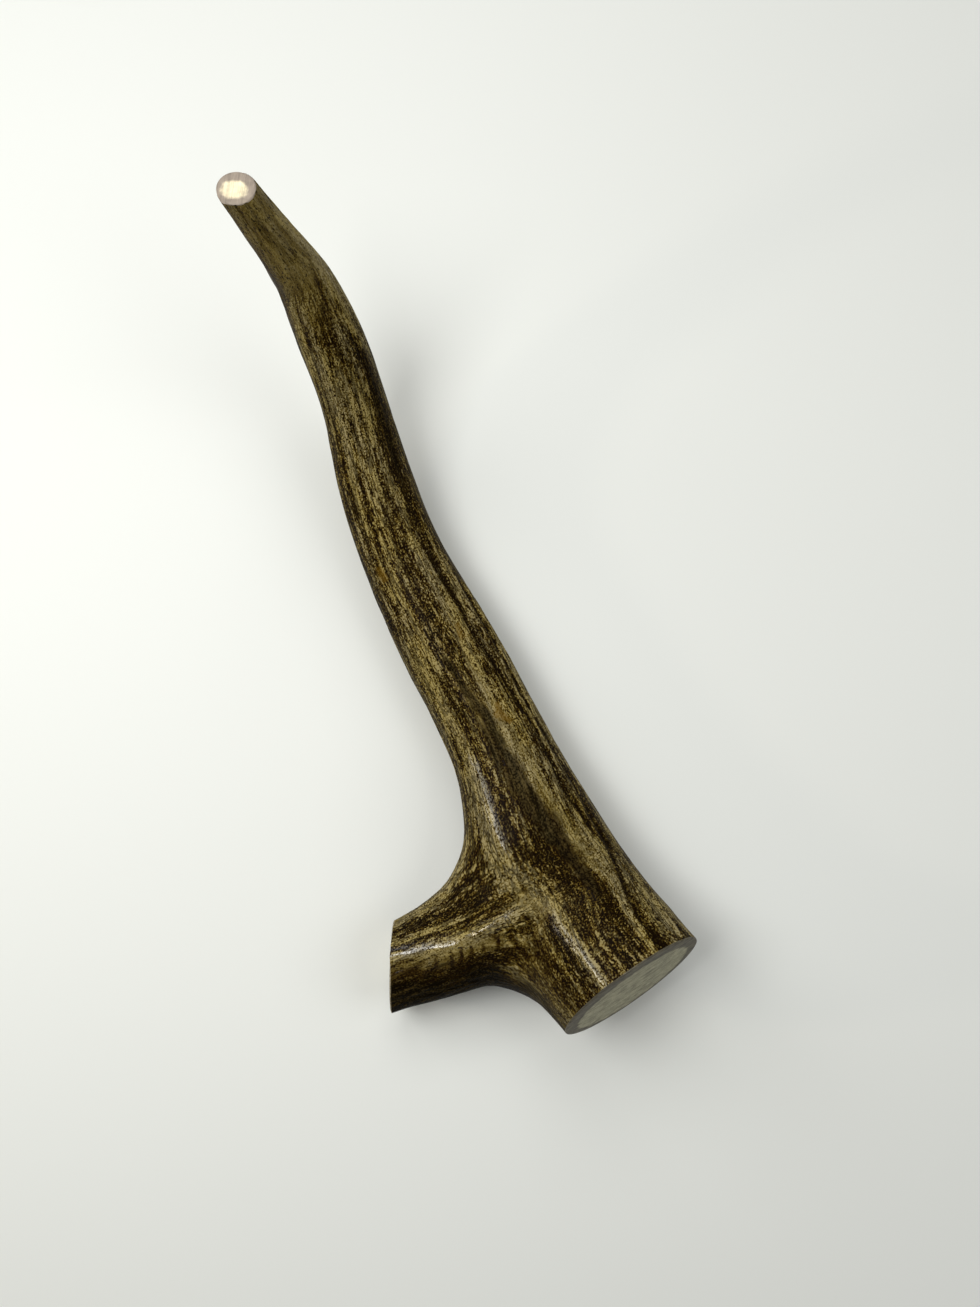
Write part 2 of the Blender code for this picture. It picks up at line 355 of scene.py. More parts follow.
def rings(samples, stops, fork_at, fork_turn, cut_at, cut_facing, right_seam, left_seam):
    """Rings of bark points round one limb: an array of rings by points by x, y, z.

    A ring starts at the limb's back and runs by its right, its belly and its left. The way to
    each point is cos a times the back plus sin a times the side, leant into the cut's plane
    near the cut and towards the fork's seams near the fork. The first lean is an eased share,
    and the second the mean of an eased and a squared one.
    """
    centre, way, back, side = (
        rows_at(stops, samples["distance"], samples[name])
        for name in ("centre", "way", "back", "side")
    )
    width = np.interp(stops, samples["distance"], samples["half_width"])
    angle = 2.0 * np.pi * np.arange(AROUND) / AROUND
    rise, swing = np.cos(angle), np.sin(angle)
    square = rise[:, None] * back[:, None] + swing[:, None] * side[:, None]

    near_cut = ease(1.0 - np.abs(stops - cut_at) / CUT_TURN)[:, None]
    outwards = cut_facing * np.sign(way @ cut_facing)[:, None]
    plane = unit(way * (1.0 - near_cut) + near_cut * outwards)
    slip = np.einsum("rac,rc->ra", square, plane) / np.einsum("rc,rc->r", way, plane)[:, None]
    square = unit(square - slip[..., None] * way[:, None])

    seam = np.where((swing > 0.0)[:, None], right_seam, left_seam)
    to_seam = rise[:, None] * UP + np.abs(swing)[:, None] * seam
    near_fork = np.clip(1.0 - np.abs(stops - fork_at) / fork_turn, 0.0, 1.0)
    near_fork = (ease(near_fork) + near_fork**2) / 2.0 * (1.0 - near_cut[:, 0])
    near_fork = near_fork[:, None, None]
    ways = unit((1.0 - near_fork) * square + near_fork * to_seam)

    origins = np.repeat(centre, AROUND, axis=0)
    points = in_chunks(reach_bark, origins, ways.reshape(-1, 3), np.repeat(width, AROUND))
    return points.reshape(len(stops), AROUND, 3)


print("points in a ring:", AROUND)

# %% The three arms
TRUNK_RINGS = 44
SHAFT_RINGS = 310
TINE_RINGS = 76
TRUNK_TURN = 38.0
SHAFT_TURN = 50.0
TINE_TURN = 50.0
ROUNDED_EDGE = 0.35
OUTER_SEAM = unit((0.93, 0.37, 0.0))
LOWER_CROTCH = unit((-0.5, -0.866, 0.0))
UPPER_CROTCH = unit((-0.9, 0.43, 0.0))

fork_at = beam["stations_at"][FORK_STATION]
stops = np.linspace(ROUNDED_EDGE, fork_at, TRUNK_RINGS + 1)
trunk = rings(beam, stops, fork_at, TRUNK_TURN, 0.0, facing(BASE_CUT), OUTER_SEAM, LOWER_CROTCH)
stops = np.linspace(fork_at, beam["length"] - ROUNDED_EDGE, SHAFT_RINGS + 1)
shaft = rings(
    beam, stops, fork_at, SHAFT_TURN, beam["length"], facing(TIP_CUT), OUTER_SEAM, UPPER_CROTCH
)
stops = np.linspace(0.0, tine["length"] - ROUNDED_EDGE, TINE_RINGS + 1)
stub = rings(
    tine, stops, 0.0, TINE_TURN, tine["length"], facing(TINE_CUT), UPPER_CROTCH, LOWER_CROTCH
)
print("rings:", len(trunk), "on the trunk,", len(shaft), "on the shaft,", len(stub), "on the tine")

# %% [markdown]
# ## The saw cuts
#
# Each end was sawn off straight, which left a flat face with a barely broken edge. A face could
# be one polygon, but then it would have neither that edge nor points inside that can store a
# value. Here it is a disc of rings that shrink from the rim to a middle point.

# %% Work out the three sawn discs
BASE_DISC_RINGS = 26
TIP_DISC_RINGS = 12
TINE_DISC_RINGS = 18
EDGE_OUT = 0.7
EDGE_IN = 0.3


def sawn_disc(rim, cut_facing, ring_count):
    """Rings of a sawn face from its broken edge inwards, then its middle point.

    The first ring is the rim moved out by 0.7 of the rounding and inwards by 0.3 of it. From the
    next on, each ring lies in the cut: it is the rim, drawn in by the rounding and then scaled
    about its middle by a share that falls evenly to 0.
    """
    middle = rim.mean(axis=0) + ROUNDED_EDGE * cut_facing
    spokes = rim + ROUNDED_EDGE * cut_facing - middle
    rounding = ROUNDED_EDGE * unit(spokes)
    edge = rim + EDGE_OUT * ROUNDED_EDGE * cut_facing - EDGE_IN * rounding
    shares = np.linspace(1.0, 0.0, ring_count)[:-1, None, None]
    return np.concatenate([edge[None], middle + (spokes - rounding) * shares]), middle


base_disc, base_middle = sawn_disc(trunk[0], facing(BASE_CUT), BASE_DISC_RINGS)
tip_disc, tip_middle = sawn_disc(shaft[-1], facing(TIP_CUT), TIP_DISC_RINGS)
tine_disc, tine_middle = sawn_disc(stub[-1], facing(TINE_CUT), TINE_DISC_RINGS)
print("the base is", round(np.ptp(trunk[0] @ beam["side"][0]), 1), "mm across its side")

# %% [markdown]
# ## How deep in the cut
#
# A sawn antler shows a hard, dense wall round a spongy core, and the wall is not equally thick
# all round. The two could be separate faces, but their border is ragged and soft. Here each point
# of a face stores how far it lies from the rim, and the material turns that into wall and core.

# %% Measure from the rim
BASE_LEAN = np.array((0.0, 0.0, 0.13))
TIP_LEAN = np.array((0.1, 0.18, 0.0))
TIP_SQUEEZE = np.array((-0.08, 0.1, 0.0))
EVEN = np.zeros(3)


def mm_from_rim(disc, lean, squeeze):
    """Each disc point's distance from the rim's point on its own spoke, less its lean and squeeze.

    The lean grows evenly to one side, so the core lies off the middle of the face, away from it.
    The squeeze grows both ways from the middle, so the core is narrower that way.
    """
    offset = disc - disc[1].mean(axis=0)
    return np.linalg.norm(disc - disc[1], axis=-1) - offset @ lean - np.abs(offset) @ squeeze


base_depth = mm_from_rim(base_disc, BASE_LEAN, EVEN)
tip_depth = mm_from_rim(tip_disc, TIP_LEAN, TIP_SQUEEZE)
tine_depth = mm_from_rim(tine_disc, EVEN, EVEN)
print("deepest in the base:", round(base_depth.max(), 1), "mm from its rim")

# %% Number the points, shared where the arms meet
HALF = AROUND // 2

pieces = (base_disc[::-1], trunk, shaft, tip_disc, stub, tine_disc)
counts = np.cumsum([0] + [len(piece) for piece in pieces])
ids = np.arange(counts[-1] * AROUND).reshape(-1, AROUND)
trunk_end, shaft_end = counts[2], counts[4]
trunk_ids = ids[:trunk_end]
shaft_ids = ids[trunk_end:shaft_end]
stub_ids = ids[shaft_end:]
shaft_ids[0, : HALF + 1] = trunk_ids[-1, : HALF + 1]
stub_ids[0, HALF:] = trunk_ids[-1, HALF:]
stub_ids[0, 0] = trunk_ids[-1, 0]
stub_ids[0, 1:HALF] = shaft_ids[0, :HALF:-1]
points = np.concatenate([piece.reshape(-1, 3) for piece in pieces])
points = np.concatenate([points, [base_middle, tip_middle, tine_middle]])
middles = np.arange(len(points) - 3, len(points))
on_trunk, on_shaft, on_stub = (np.zeros(arm.shape[:2]) for arm in (trunk, shaft, stub))
depths = (base_depth[::-1], on_trunk, on_shaft, tip_depth, on_stub, tine_depth)
deepest = [depth.max() for depth in (base_depth, tip_depth, tine_depth)]
from_rim = np.concatenate([np.concatenate(depths).ravel(), deepest])
print("points before sharing:", len(points))

# %% List the faces and drop the points that none uses
BARK, BASE_FACE, TIP_FACE, TINE_FACE = range(4)


def skin(rows):
    """The four-sided faces between neighbouring rings, wound so that they face outwards."""
    here, there = rows[:-1], rows[1:]
    corners = (here, np.roll(here, -1, axis=1), np.roll(there, -1, axis=1), there)
    return np.stack(corners, axis=-1).reshape(-1, 4)


def fan(ring, middle):
    """Triangles from each side of a ring to a middle point."""
    return np.stack([ring, np.roll(ring, -1), np.full_like(ring, middle)], axis=-1)


quads = np.concatenate([skin(trunk_ids), skin(shaft_ids), skin(stub_ids)])
triangles = np.concatenate([
    fan(trunk_ids[0, ::-1], middles[0]),
    fan(shaft_ids[-1], middles[1]),
    fan(stub_ids[-1], middles[2]),
])
quad_finish = np.concatenate([
    np.where(np.arange(len(trunk_ids) - 1) < len(base_disc), BASE_FACE, BARK),
    np.where(np.arange(len(shaft_ids) - 1) < len(shaft) - 1, BARK, TIP_FACE),
    np.where(np.arange(len(stub_ids) - 1) < len(stub) - 1, BARK, TINE_FACE),
])
fan_finish = np.repeat([BASE_FACE, TIP_FACE, TINE_FACE], AROUND)
finish = np.concatenate([np.repeat(quad_finish, AROUND), fan_finish])
corners = np.concatenate([quads.ravel(), triangles.ravel()])
used, renumbered = np.unique(corners, return_inverse=True)
quads = renumbered[: quads.size].reshape(-1, 4)
triangles = renumbered[quads.size :].reshape(-1, 3)
points = points[used]
from_rim = from_rim[used]
print(len(points), "points,", 2 * len(quads) + len(triangles), "triangles")

# %% Stand the form where the solids stand
low, high = points.min(axis=0), points.max(axis=0)
shift = (CAD_LOW + CAD_HIGH) / 2.0 - (low + high) / 2.0
shift[2] = CAD_LOW[2] - low[2]
print("the form spans", np.round(high - low, 1), "mm and moves by", np.round(shift, 2))

# %% [markdown]
# ## The grain
#
# Everything on an antler runs along it: its furrows, its stains and its fibres. An unwrapped
# texture would need a seam somewhere, and it would show. Here every point gets its place in the
# grain of each limb: how far along it lies, and how far to the side and to the back. Each blob
# gives its own answer, and the nearest blobs' answers are averaged, so nothing ever jumps. Near
# the fork a share tells how much of the point belongs to the tine.

# %% Find each point's place in the grain
GRAIN_RADIUS = 12.0
TAPER_FOLLOWED = 0.5
FORK_BLEND = 0.9
MOST_DIFFERENCE = 60.0


def grain(samples, points):
    """Each point's mm along the limb, to its side and to its back, its degrees and its radius.

    The offsets to the side and the back are stretched to one radius for each place along the
    limb: its own times (12 / its own) to the power 0.5. So a swelling of the skin doesn't cut
    across the grain, and furrows draw together as the limb tapers, but less than the limb does.
    """
    distance = monomials(points) @ samples["squared_distance"]
    nearest = distance.min(axis=1, keepdims=True)
    pull = np.exp(-FIRMNESS * (distance - nearest)) * samples["weight"]
    pull /= pull.sum(axis=1, keepdims=True)
    answers = []
    for name, start in (("way", samples["distance"]), ("side", 0.0), ("back", 0.0)):
        offset = start - np.einsum("ij,ij->i", samples["centre"], samples[name])
        answers.append(pull @ offset + np.einsum("pc,pc->p", pull @ samples[name], points))
    along, across, up = answers
    radius = pull @ samples["mean_radius"]
    stretch = radius * (GRAIN_RADIUS / radius) ** TAPER_FOLLOWED / np.hypot(across, up)
    degrees = np.degrees(np.arctan2(across, up))
    return np.stack([along, across * stretch, up * stretch, degrees, radius], axis=-1)


def share_of_tine(points):
    """0 on the beam and 1 on the tine: 1 / (1 + e to the difference of the two blob sums)."""
    difference = (blob_sum(beam, points) - blob_sum(tine, points)) / (FIRMNESS * FORK_BLEND)
    return 1.0 / (1.0 + np.exp(np.clip(difference, -MOST_DIFFERENCE, MOST_DIFFERENCE)))


on_beam = in_chunks(lambda part: grain(beam, part), points)
on_tine = in_chunks(lambda part: grain(tine, part), points)
tine_share = in_chunks(share_of_tine, points)
print("share of the tine: mean", round(tine_share.mean(), 2))

# %% [markdown]
# ## Noise along the grain
#
# The bark of an antler is never even: blood vessels left long furrows with ridges and small pearls
# between them, and its colour runs in streaks. Blender's noise textures would only reach the
# shader. Here the same kind of noise is worked out for the points, in their place in the grain, so
# that it can move the skin and also fray the edges of painted bands.

# %% Smooth random heights
LATTICE = 64


def soft_noise(places, seed):
    """Smooth random values from -1 to 1, from whole-number corners that are eased between.

    A place's value is the sum of its cell's eight corner values, each times the three eased
    shares, one a direction, by which the place lies towards that corner.
    """
    corners = np.random.default_rng(seed).uniform(-1.0, 1.0, (LATTICE, LATTICE, LATTICE))
    cell = np.floor(places).astype(int)
    share = ease(places - cell)
    total = np.zeros(len(places))
    for corner in np.ndindex(2, 2, 2):
        weight = np.where(corner, share, 1.0 - share).prod(axis=1)
        total += weight * corners[tuple(((cell + corner) % LATTICE).T)]
    return total


def grain_noise(along, across, seed):
    """Soft noise with cells of so many mm along and across the grain, joined at the fork."""
    cell = np.array((along, across, across))
    beam_value = soft_noise(on_beam[:, :3] / cell, seed)
    tine_value = soft_noise(on_tine[:, :3] / cell, seed + 1)
    return beam_value + tine_share * (tine_value - beam_value)


print("a noise of 10 by 2 mm spreads by", round(grain_noise(10.0, 2.0, seed=1).std(), 2))

# %% [markdown]
# ## Worn and rough bark
#
# Where an antler is rubbed most its bark is tan and smooth, and between such bands it stays dark
# and rough. An image texture could hold them, but it would need painting and unwrapping. Here each
# band is a soft stroke along the grain, laid one by one as a painter would. A stroke has a
# strength, above 0 for worn and below 0 for rough, and a path of three numbers a stop: mm along the
# limb, degrees round from its back, and half the stroke's width in mm.

# %% Strokes of wear on the beam
# Some strokes also paint light or shade, and their names and comments say so.
BEAM_WEAR = {
    "long tan band": (0.36, (
        (0, 39, 1.0), (18, 40, 1.4), (30, 38, 1.8), (42, 34, 2.2), (52, 28, 2.4), (62, 21, 2.4),
        (70, 16, 2.6), (80, 14, 2.2), (90, 12, 1.6), (100, 18, 1.6), (112, 23, 1.9), (125, 25, 1.8),
        (140, 25, 1.8), (152, 24, 1.0),
    )),
    "upper tan patch": (0.34, (
        (118, -27, 0.7), (128, -20, 0.9), (138, -13, 1.2), (147, -8, 1.6), (158, -8, 1.2),
        (172, -10, 1.0), (188, -9, 0.9),
    )),
    "tan left flank": (0.28, ((46, -46, 2.2), (60, -44, 2.6), (80, -48, 2.8), (104, -50, 2.4))),
    "tan beside the stain": (0.28, (
        (60, -24, 1.0), (76, -22, 1.8), (90, -20, 1.8), (104, -26, 1.4),
    )),
    "tan right flank": (0.34, ((0, 64, 2.8), (12, 66, 2.8), (24, 72, 2.4))),
    # Partly wear and partly a painted highlight along the trunk's crest.
    "tan and painted highlight by the trunk's crest": (0.34, ((0, -9, 1.1), (14, -8, 1.2), (24, -15, 1.1))),
    "plain patch at the fork": (0.22, ((27, -20, 2.4), (34, -22, 2.2))),
    # Partly wear and partly a painted highlight along the crest that runs up the beam.
    "tan and painted highlight above the fork": (0.34, ((30, -36, 1.6), (40, -38, 1.8), (50, -44, 1.8), (74, -46, 1.4))),
    "thin tan line": (0.24, ((104, 52, 0.5), (120, 49, 0.6), (150, 48, 0.5))),
    "speckled tan": (0.14, ((120, -42, 1.6), (140, -36, 1.6), (160, -29, 1.8), (176, -30, 1.4))),
    "tan edge of the bend": (0.28, ((188, -58, 1.4), (202, -60, 1.2))),
    "tan left of the bend": (0.28, ((178, -32, 1.8), (190, -34, 2.4), (204, -36, 1.8))),
    "tan right of the bend": (0.34, ((190, 62, 2.4), (206, 56, 3.0), (226, 54, 2.4))),
    "tan towards the tip": (0.12, ((206, 0, 6.0), (240, 0, 6.0))),
    "dark streak at the base": (-0.9, ((0, 44, 1.3), (16, 44, 1.1), (26, 50, 0.7), (36, 58, 0.5))),
    "dark line on the right": (-0.85, (
        (44, 51, 0.5), (56, 46, 0.6), (66, 50, 0.5), (74, 50, 0.5), (82, 45, 0.6), (90, 43, 0.5),
        (98, 37, 0.6), (112, 36, 0.7), (125, 36, 0.6),
    )),
    "second dark line": (-0.8, (
        (36, 59, 0.5), (56, 62, 0.5), (70, 61, 0.6), (82, 57, 0.4), (112, 60, 0.6),
    )),
    "dark dashes right": (-0.08, ((40, 46, 0.6), (60, 41, 0.8), (80, 36, 0.9), (104, 34, 1.0))),
    "tan between dark lines": (0.34, ((34, 46, 1.4), (48, 43, 1.2), (64, 38, 1.0), (84, 29, 1.2))),
    "tan beside the dark line": (0.3, (
        (80, 50, 0.8), (90, 48, 0.9), (100, 45, 0.8), (112, 45, 0.7),
    )),
    "tan outer edge": (0.8, ((52, 77, 1.0), (66, 73, 1.5), (90, 70, 1.9), (112, 74, 1.4))),
    # Partly rough bark and partly painted shade on the side turned away from the light.
    "dark right side, rough and painted shade": (-0.5, (
        (118, 38, 0.8), (130, 39, 1.3), (145, 40, 1.6), (160, 41, 2.0), (175, 42, 1.8),
        (190, 38, 1.2),
    )),
    "mottled dark patch": (-0.26, ((112, -2, 1.6), (130, -2, 1.8), (137, 4, 1.0))),
    "dark patch by the band": (-0.30, ((133, 17, 0.8), (140, 18, 0.9), (147, 12, 0.6))),
    "dotted dark line": (-0.34, (
        (124, -34, 0.6), (138, -26, 0.7), (152, -19, 0.6), (166, -17, 0.6), (180, -18, 0.5),
    )),
    "dark left line": (-0.30, ((134, -46, 0.6), (148, -42, 0.7), (164, -42, 0.6))),
    "dark left edge": (-0.20, ((112, -66, 2.0), (150, -66, 2.0), (172, -58, 1.6))),
    "blotches of the bend": (-0.32, ((180, -14, 0.8), (188, -12, 0.9), (195, -10, 0.7))),
    "dark spot of the bend": (-0.3, ((205, 14, 0.6), (208, 18, 0.9))),
    "dark inner bend": (-0.2, ((197, -44, 0.8), (205, -44, 0.9))),
    "dark streak by the crest": (-0.40, ((0, -16, 1.0), (12, -18, 1.4), (22, -22, 1.0))),
    "dark trunk": (-0.26, ((0, 18, 4.6), (14, 18, 5.0), (28, 8, 4.4), (40, 2, 3.8))),
    "dark fork": (-0.12, ((42, 0, 3.6), (52, -4, 3.4), (60, -16, 2.8), (70, -26, 2.2))),
    "dark beside the trunk": (-0.14, ((0, -34, 3.4), (18, -40, 3.0))),
    "dark left of the stain": (-0.34, ((54, -27, 1.2), (68, -27, 1.3))),
    "dark line above the tine": (-0.26, ((52, -53, 0.6), (64, -52, 0.8), (76, -53, 0.6))),
}
print("strokes of wear on the beam:", len(BEAM_WEAR))

# %% Strokes of wear on the tine
# The belly under the tine is painted nearly black: partly a dark stain, partly painted shade.
BELLY_STAIN_AND_PAINTED_SHADE = ((10, -82, 6.0), (20, -70, 7.0), (28, -62, 7.4), (38, -54, 8.0), (56, -52, 8.4))
TINE_WEAR = {
    "dark band of the tine": (-0.38, (
        (14, 48, 2.0), (20, 43, 2.6), (28, 48, 2.6), (36, 54, 1.8), (44, 59, 1.2), (54, 63, 1.0),
    )),
    "tan line of the tine": (0.42, ((20, 31, 0.8), (30, 34, 0.9), (40, 40, 1.0), (54, 47, 1.0))),
    "dark line of the tine": (-0.34, ((24, 28, 0.6), (30, 30, 0.8), (36, 31, 0.6), (54, 36, 0.6))),
    # Partly wear and partly a painted highlight: this tan lies on the crest's glint and is strong
    # to brighten it.
    "tan crest of the tine, with painted highlight": (0.7, (
        (10, 16, 0.9), (16, 12, 1.1), (23, 10, 1.2), (30, 12, 1.3), (38, 19, 1.2), (54, 28, 1.0),
    )),
    # Partly wear and partly painted light: the side of the tine turned to the light behind is
    # painted paler.
    "tan and painted light on the upper flank": (0.8, ((20, 80, 2.2), (34, 80, 2.8), (54, 84, 2.4))),
    "satin side": (0.16, ((22, -6, 2.4), (32, 2, 2.8), (42, 8, 2.6), (54, 16, 2.2))),
    "dark underside": (-0.45, ((14, -24, 2.2), (26, -30, 2.2), (38, -26, 1.8), (54, -14, 1.0))),
    "dark belly, stain and painted shade": (-0.6, BELLY_STAIN_AND_PAINTED_SHADE),
    "line above the belly": (0.22, (
        (16, -48, 0.7), (28, -48, 0.8), (38, -38, 0.6), (54, -30, 0.6),
    )),
}
print("strokes of wear on the tine:", len(TINE_WEAR))

# %% [markdown]
# ## Dark marks across the tine
#
# A few thin dark marks lie slantwise over the satin side of the tine, like old scratches. They
# are too few and too regular for a noise. They are strokes too, but short, thin ones whose
# degrees run far between two stops that lie close together.

# %% Marks across the tine
MARKS_ACROSS = {
    "under the fork": (0.5, ((14.7, 4, 0.7), (16.0, -9, 0.9))),
    "second": (0.7, ((17.8, 5, 0.8), (20.1, -16, 0.9))),
    "third": (0.4, ((21.5, 5, 0.6), (23.6, -15, 0.7))),
    "fourth": (0.5, ((24.9, 6, 0.7), (27.3, -15, 0.9))),
    "longest": (0.7, ((28.0, 5, 0.7), (31.7, -23, 1.0))),
    "fifth": (0.5, ((31.4, 7, 0.6), (34.0, -17, 0.9))),
    "near the cut": (0.4, ((36.6, 8, 0.6), (39.4, -14, 0.8))),
}
print("marks across the tine:", len(MARKS_ACROSS))

# %% [markdown]
# ## Stains and spots of rust
#
# Sap and earth left a smooth, dark olive band up the front of the beam. The belly under the tine
# is nearly black, partly a dark stain and partly painted shade, and the trunk's lower flank is
# darkened the same way. The right side of the upper beam is darker, partly from stain and partly
# as painted shade. A few small places took a rust colour. Stains could be mixed into the wear, but
# they have a colour of their own and cover the pattern under them, so they get their own strokes.

# %% Strokes of stain
BEAM_STAINS = {
    "stained band": (0.9, (
        (24, 21, 1.6), (32, 19, 2.0), (42, 17, 2.4), (50, 13, 3.0), (58, 5, 3.4), (66, -1, 3.0),
        (74, -2, 2.2), (82, -4, 1.6), (90, -9, 1.2), (96, -12, 0.8),
    )),
    # These two strokes are partly stain and partly painted shade of the beam's right side.
    "stain and painted shade on the right side": (0.55, ((150, 44, 1.4), (165, 46, 2.0), (185, 46, 1.4))),
    "stain and painted shade on the outer side": (0.40, ((116, 72, 1.6), (140, 70, 2.4), (165, 72, 2.2), (178, 74, 1.4))),
    # The trunk's lower flank is darkened partly by stain and partly as painted shade.
    "stain and painted shade on the lower flank": (0.85, ((-2, -84, 4.0), (14, -84, 4.4))),
}
# The belly's stain is partly painted shade.
TINE_STAINS = {"dark belly, stain and painted shade": (1.0, BELLY_STAIN_AND_PAINTED_SHADE)}
RUST_SPOTS = {
    "rust spot": (1.0, ((76, 22, 1.0), (79, 14, 1.2), (82, 18, 0.8))),
    "upper rust spot": (0.7, ((101, 20, 0.8), (105, 20, 0.8))),
    "left rust spot": (0.7, ((124, -40, 1.0), (128, -42, 0.9))),
}
print("strokes of stain:", len(BEAM_STAINS) + len(TINE_STAINS), "and of rust:", len(RUST_SPOTS))

# %% [markdown]
# ## Smooth and glossy bark
#
# Some bark is so closely grown or so rubbed that its grain hardly shows, and a part of that is
# also glossy. A second material would end in a hard edge. Two more sets of strokes are softer:
# one weakens the grain, and the other lays a thin gloss over it.

# %% Strokes of smoothness and gloss
BEAM_SMOOTH = {
    "stained band": (0.5, (
        (24, 21, 1.6), (42, 17, 2.4), (58, 5, 3.4), (74, -2, 2.2), (90, -9, 1.2),
    )),
    "long tan band": (0.45, ((26, 38, 1.6), (52, 28, 2.0), (78, 13, 1.6), (92, 10, 1.0))),
    "side of the trunk": (0.5, ((0, -56, 7.0), (20, -60, 7.0))),
    "bump at the fork": (0.7, ((26, -24, 2.2), (34, -34, 2.2))),
    "beyond the bend": (0.55, ((200, 0, 40.0), (245, 0, 40.0))),
    "towards the tip": (0.55, ((212, 0, 40.0), (245, 0, 40.0))),
}
TINE_SMOOTH = {
    "satin side": (0.95, ((20, -8, 2.6), (32, 0, 3.2), (42, 6, 3.0), (56, 14, 2.6))),
    "dark belly, stain and painted shade": (0.6, ((10, -82, 6.0), (28, -62, 7.4), (38, -54, 8.0), (56, -52, 8.4))),
}
BEAM_POLISH = {"sheen at the bend": (0.03, ((88, -14, 1.2), (100, -18, 1.2)))}
TINE_POLISH = {
    "satin side": (0.30, ((20, -4, 2.2), (32, 2, 2.8), (42, 8, 2.6), (56, 16, 2.2))),
}
print("smooth strokes:", len(BEAM_SMOOTH) + len(TINE_SMOOTH))
print("glossy strokes:", len(BEAM_POLISH) + len(TINE_POLISH))

# %% [markdown]
# ## Laying the strokes
#
# No band on a real antler has a clean edge, because the grain frays it. A mask with a hard edge
# would look printed on. So a stroke fades out with the distance from its path, and two noises,
# one long and one short, are added to that distance.

# %% Lay a stroke
BAND_FADE = 6.0
MARK_FADE = 0.7
# Two noises: mm along the grain, mm across it, and half widths of the stroke
WOBBLE = ((9.0, 2.4, 0.5), (2.6, 0.9, 0.5))
SEED_STEP = 10
TINE_BEGINS = 0.3
TINE_TAKES_OVER = 0.45


def noises(rows, seed, seed_step):
    """The sum of several noises along the grain, each times its amount."""
    return sum(
        amount * grain_noise(along, across, seed + seed_step * row)
        for row, (along, across, amount) in enumerate(rows)
    )


def stroke(places, path, wobble, fade=BAND_FADE):
    """A soft band along the grain: e to minus (distance from its middle / half width) cubed.

    The distance runs round the limb, and the wobble is added to it in half widths. Past either
    end of the path the band fades out over a few millimetres.
    """
    stops, degrees, half_widths = np.array(path, float).T
    middle = np.interp(places[:, 0], stops, degrees)
    half_width = np.interp(places[:, 0], stops, half_widths)
    away = (places[:, 3] - middle + 180.0) % 360.0 - 180.0
    distance = np.abs(np.radians(away) * places[:, 4] / half_width + wobble)
    past = np.maximum(stops[0] - places[:, 0], places[:, 0] - stops[-1])
    return np.exp(-(distance**3)) * ease(1.0 - past / fade)


def painted(beam_strokes, tine_strokes, seed, fade=BAND_FADE):
    """The sum of the strokes on both limbs, each times its strength and its limb's share."""
    total = np.zeros(len(points))
    on_the_tine = ease((tine_share - TINE_BEGINS) / TINE_TAKES_OVER)
    for places, belongs, strokes in (
        (on_beam, 1.0 - on_the_tine, beam_strokes),
        (on_tine, on_the_tine, tine_strokes),
    ):
        for strength, path in strokes.values():
            seed += SEED_STEP
            wobble = noises(WOBBLE, seed, 0)
            total += strength * belongs * stroke(places, path, wobble, fade)
    return total


# %% Lay all the strokes
WEAR_SEED = 1000
STAIN_SEED = 2000
RUST_SEED = 3000
MARKS_SEED = 4000
SMOOTH_SEED = 5000
GLOSS_SEED = 6000

worn = painted(BEAM_WEAR, TINE_WEAR, WEAR_SEED)
worn -= painted({}, MARKS_ACROSS, MARKS_SEED, fade=MARK_FADE)
stain = np.clip(painted(BEAM_STAINS, TINE_STAINS, STAIN_SEED), 0.0, 1.0)
rust = painted(RUST_SPOTS, {}, RUST_SEED, fade=MARK_FADE)
smooth = np.clip(painted(BEAM_SMOOTH, TINE_SMOOTH, SMOOTH_SEED), 0.0, 1.0)
gloss = painted(BEAM_POLISH, TINE_POLISH, GLOSS_SEED)
print("stained:", round(100.0 * (stain > 0.5).mean()), "% of the points")

# %% [markdown]
# ## The sides and the belly
#
# The strokes only cover what shows from above. Left alone, the belly would be one even brown.
# It could be painted as well, but nothing shows what is there, so wide patches of noise stand in
# for the bands and keep the same balance of tan and dark.

# %% Patches where the view from above does not reach
UNSEEN_FROM = 62.0
UNSEEN_FADE = 24.0
# Two noises: mm along the grain, mm across it, and wear
UNSEEN_PATCHES = ((42.0, 4.2, 0.42), (16.0, 2.2, 0.26))
UNSEEN_SEED = 900

angle = on_beam[:, 3] + tine_share * (on_tine[:, 3] - on_beam[:, 3])
unseen = ease((np.abs(angle) - UNSEEN_FROM) / UNSEEN_FADE)
worn += unseen * noises(UNSEEN_PATCHES, UNSEEN_SEED, 1)
print("wear from", round(worn.min(), 2), "to", round(worn.max(), 2))

# %% [markdown]
# ## Crests
#
# Three sharp crests meet on top of the fork: one runs up the beam, one out along the tine and
# one down the trunk to the sawn base. They cross from one limb to the next, so the grain cannot
# place them, and each is a line in space instead. A crest is a roof with a rounded ridge. Crests
# rub against everything, so they are worn tan and glossy too.

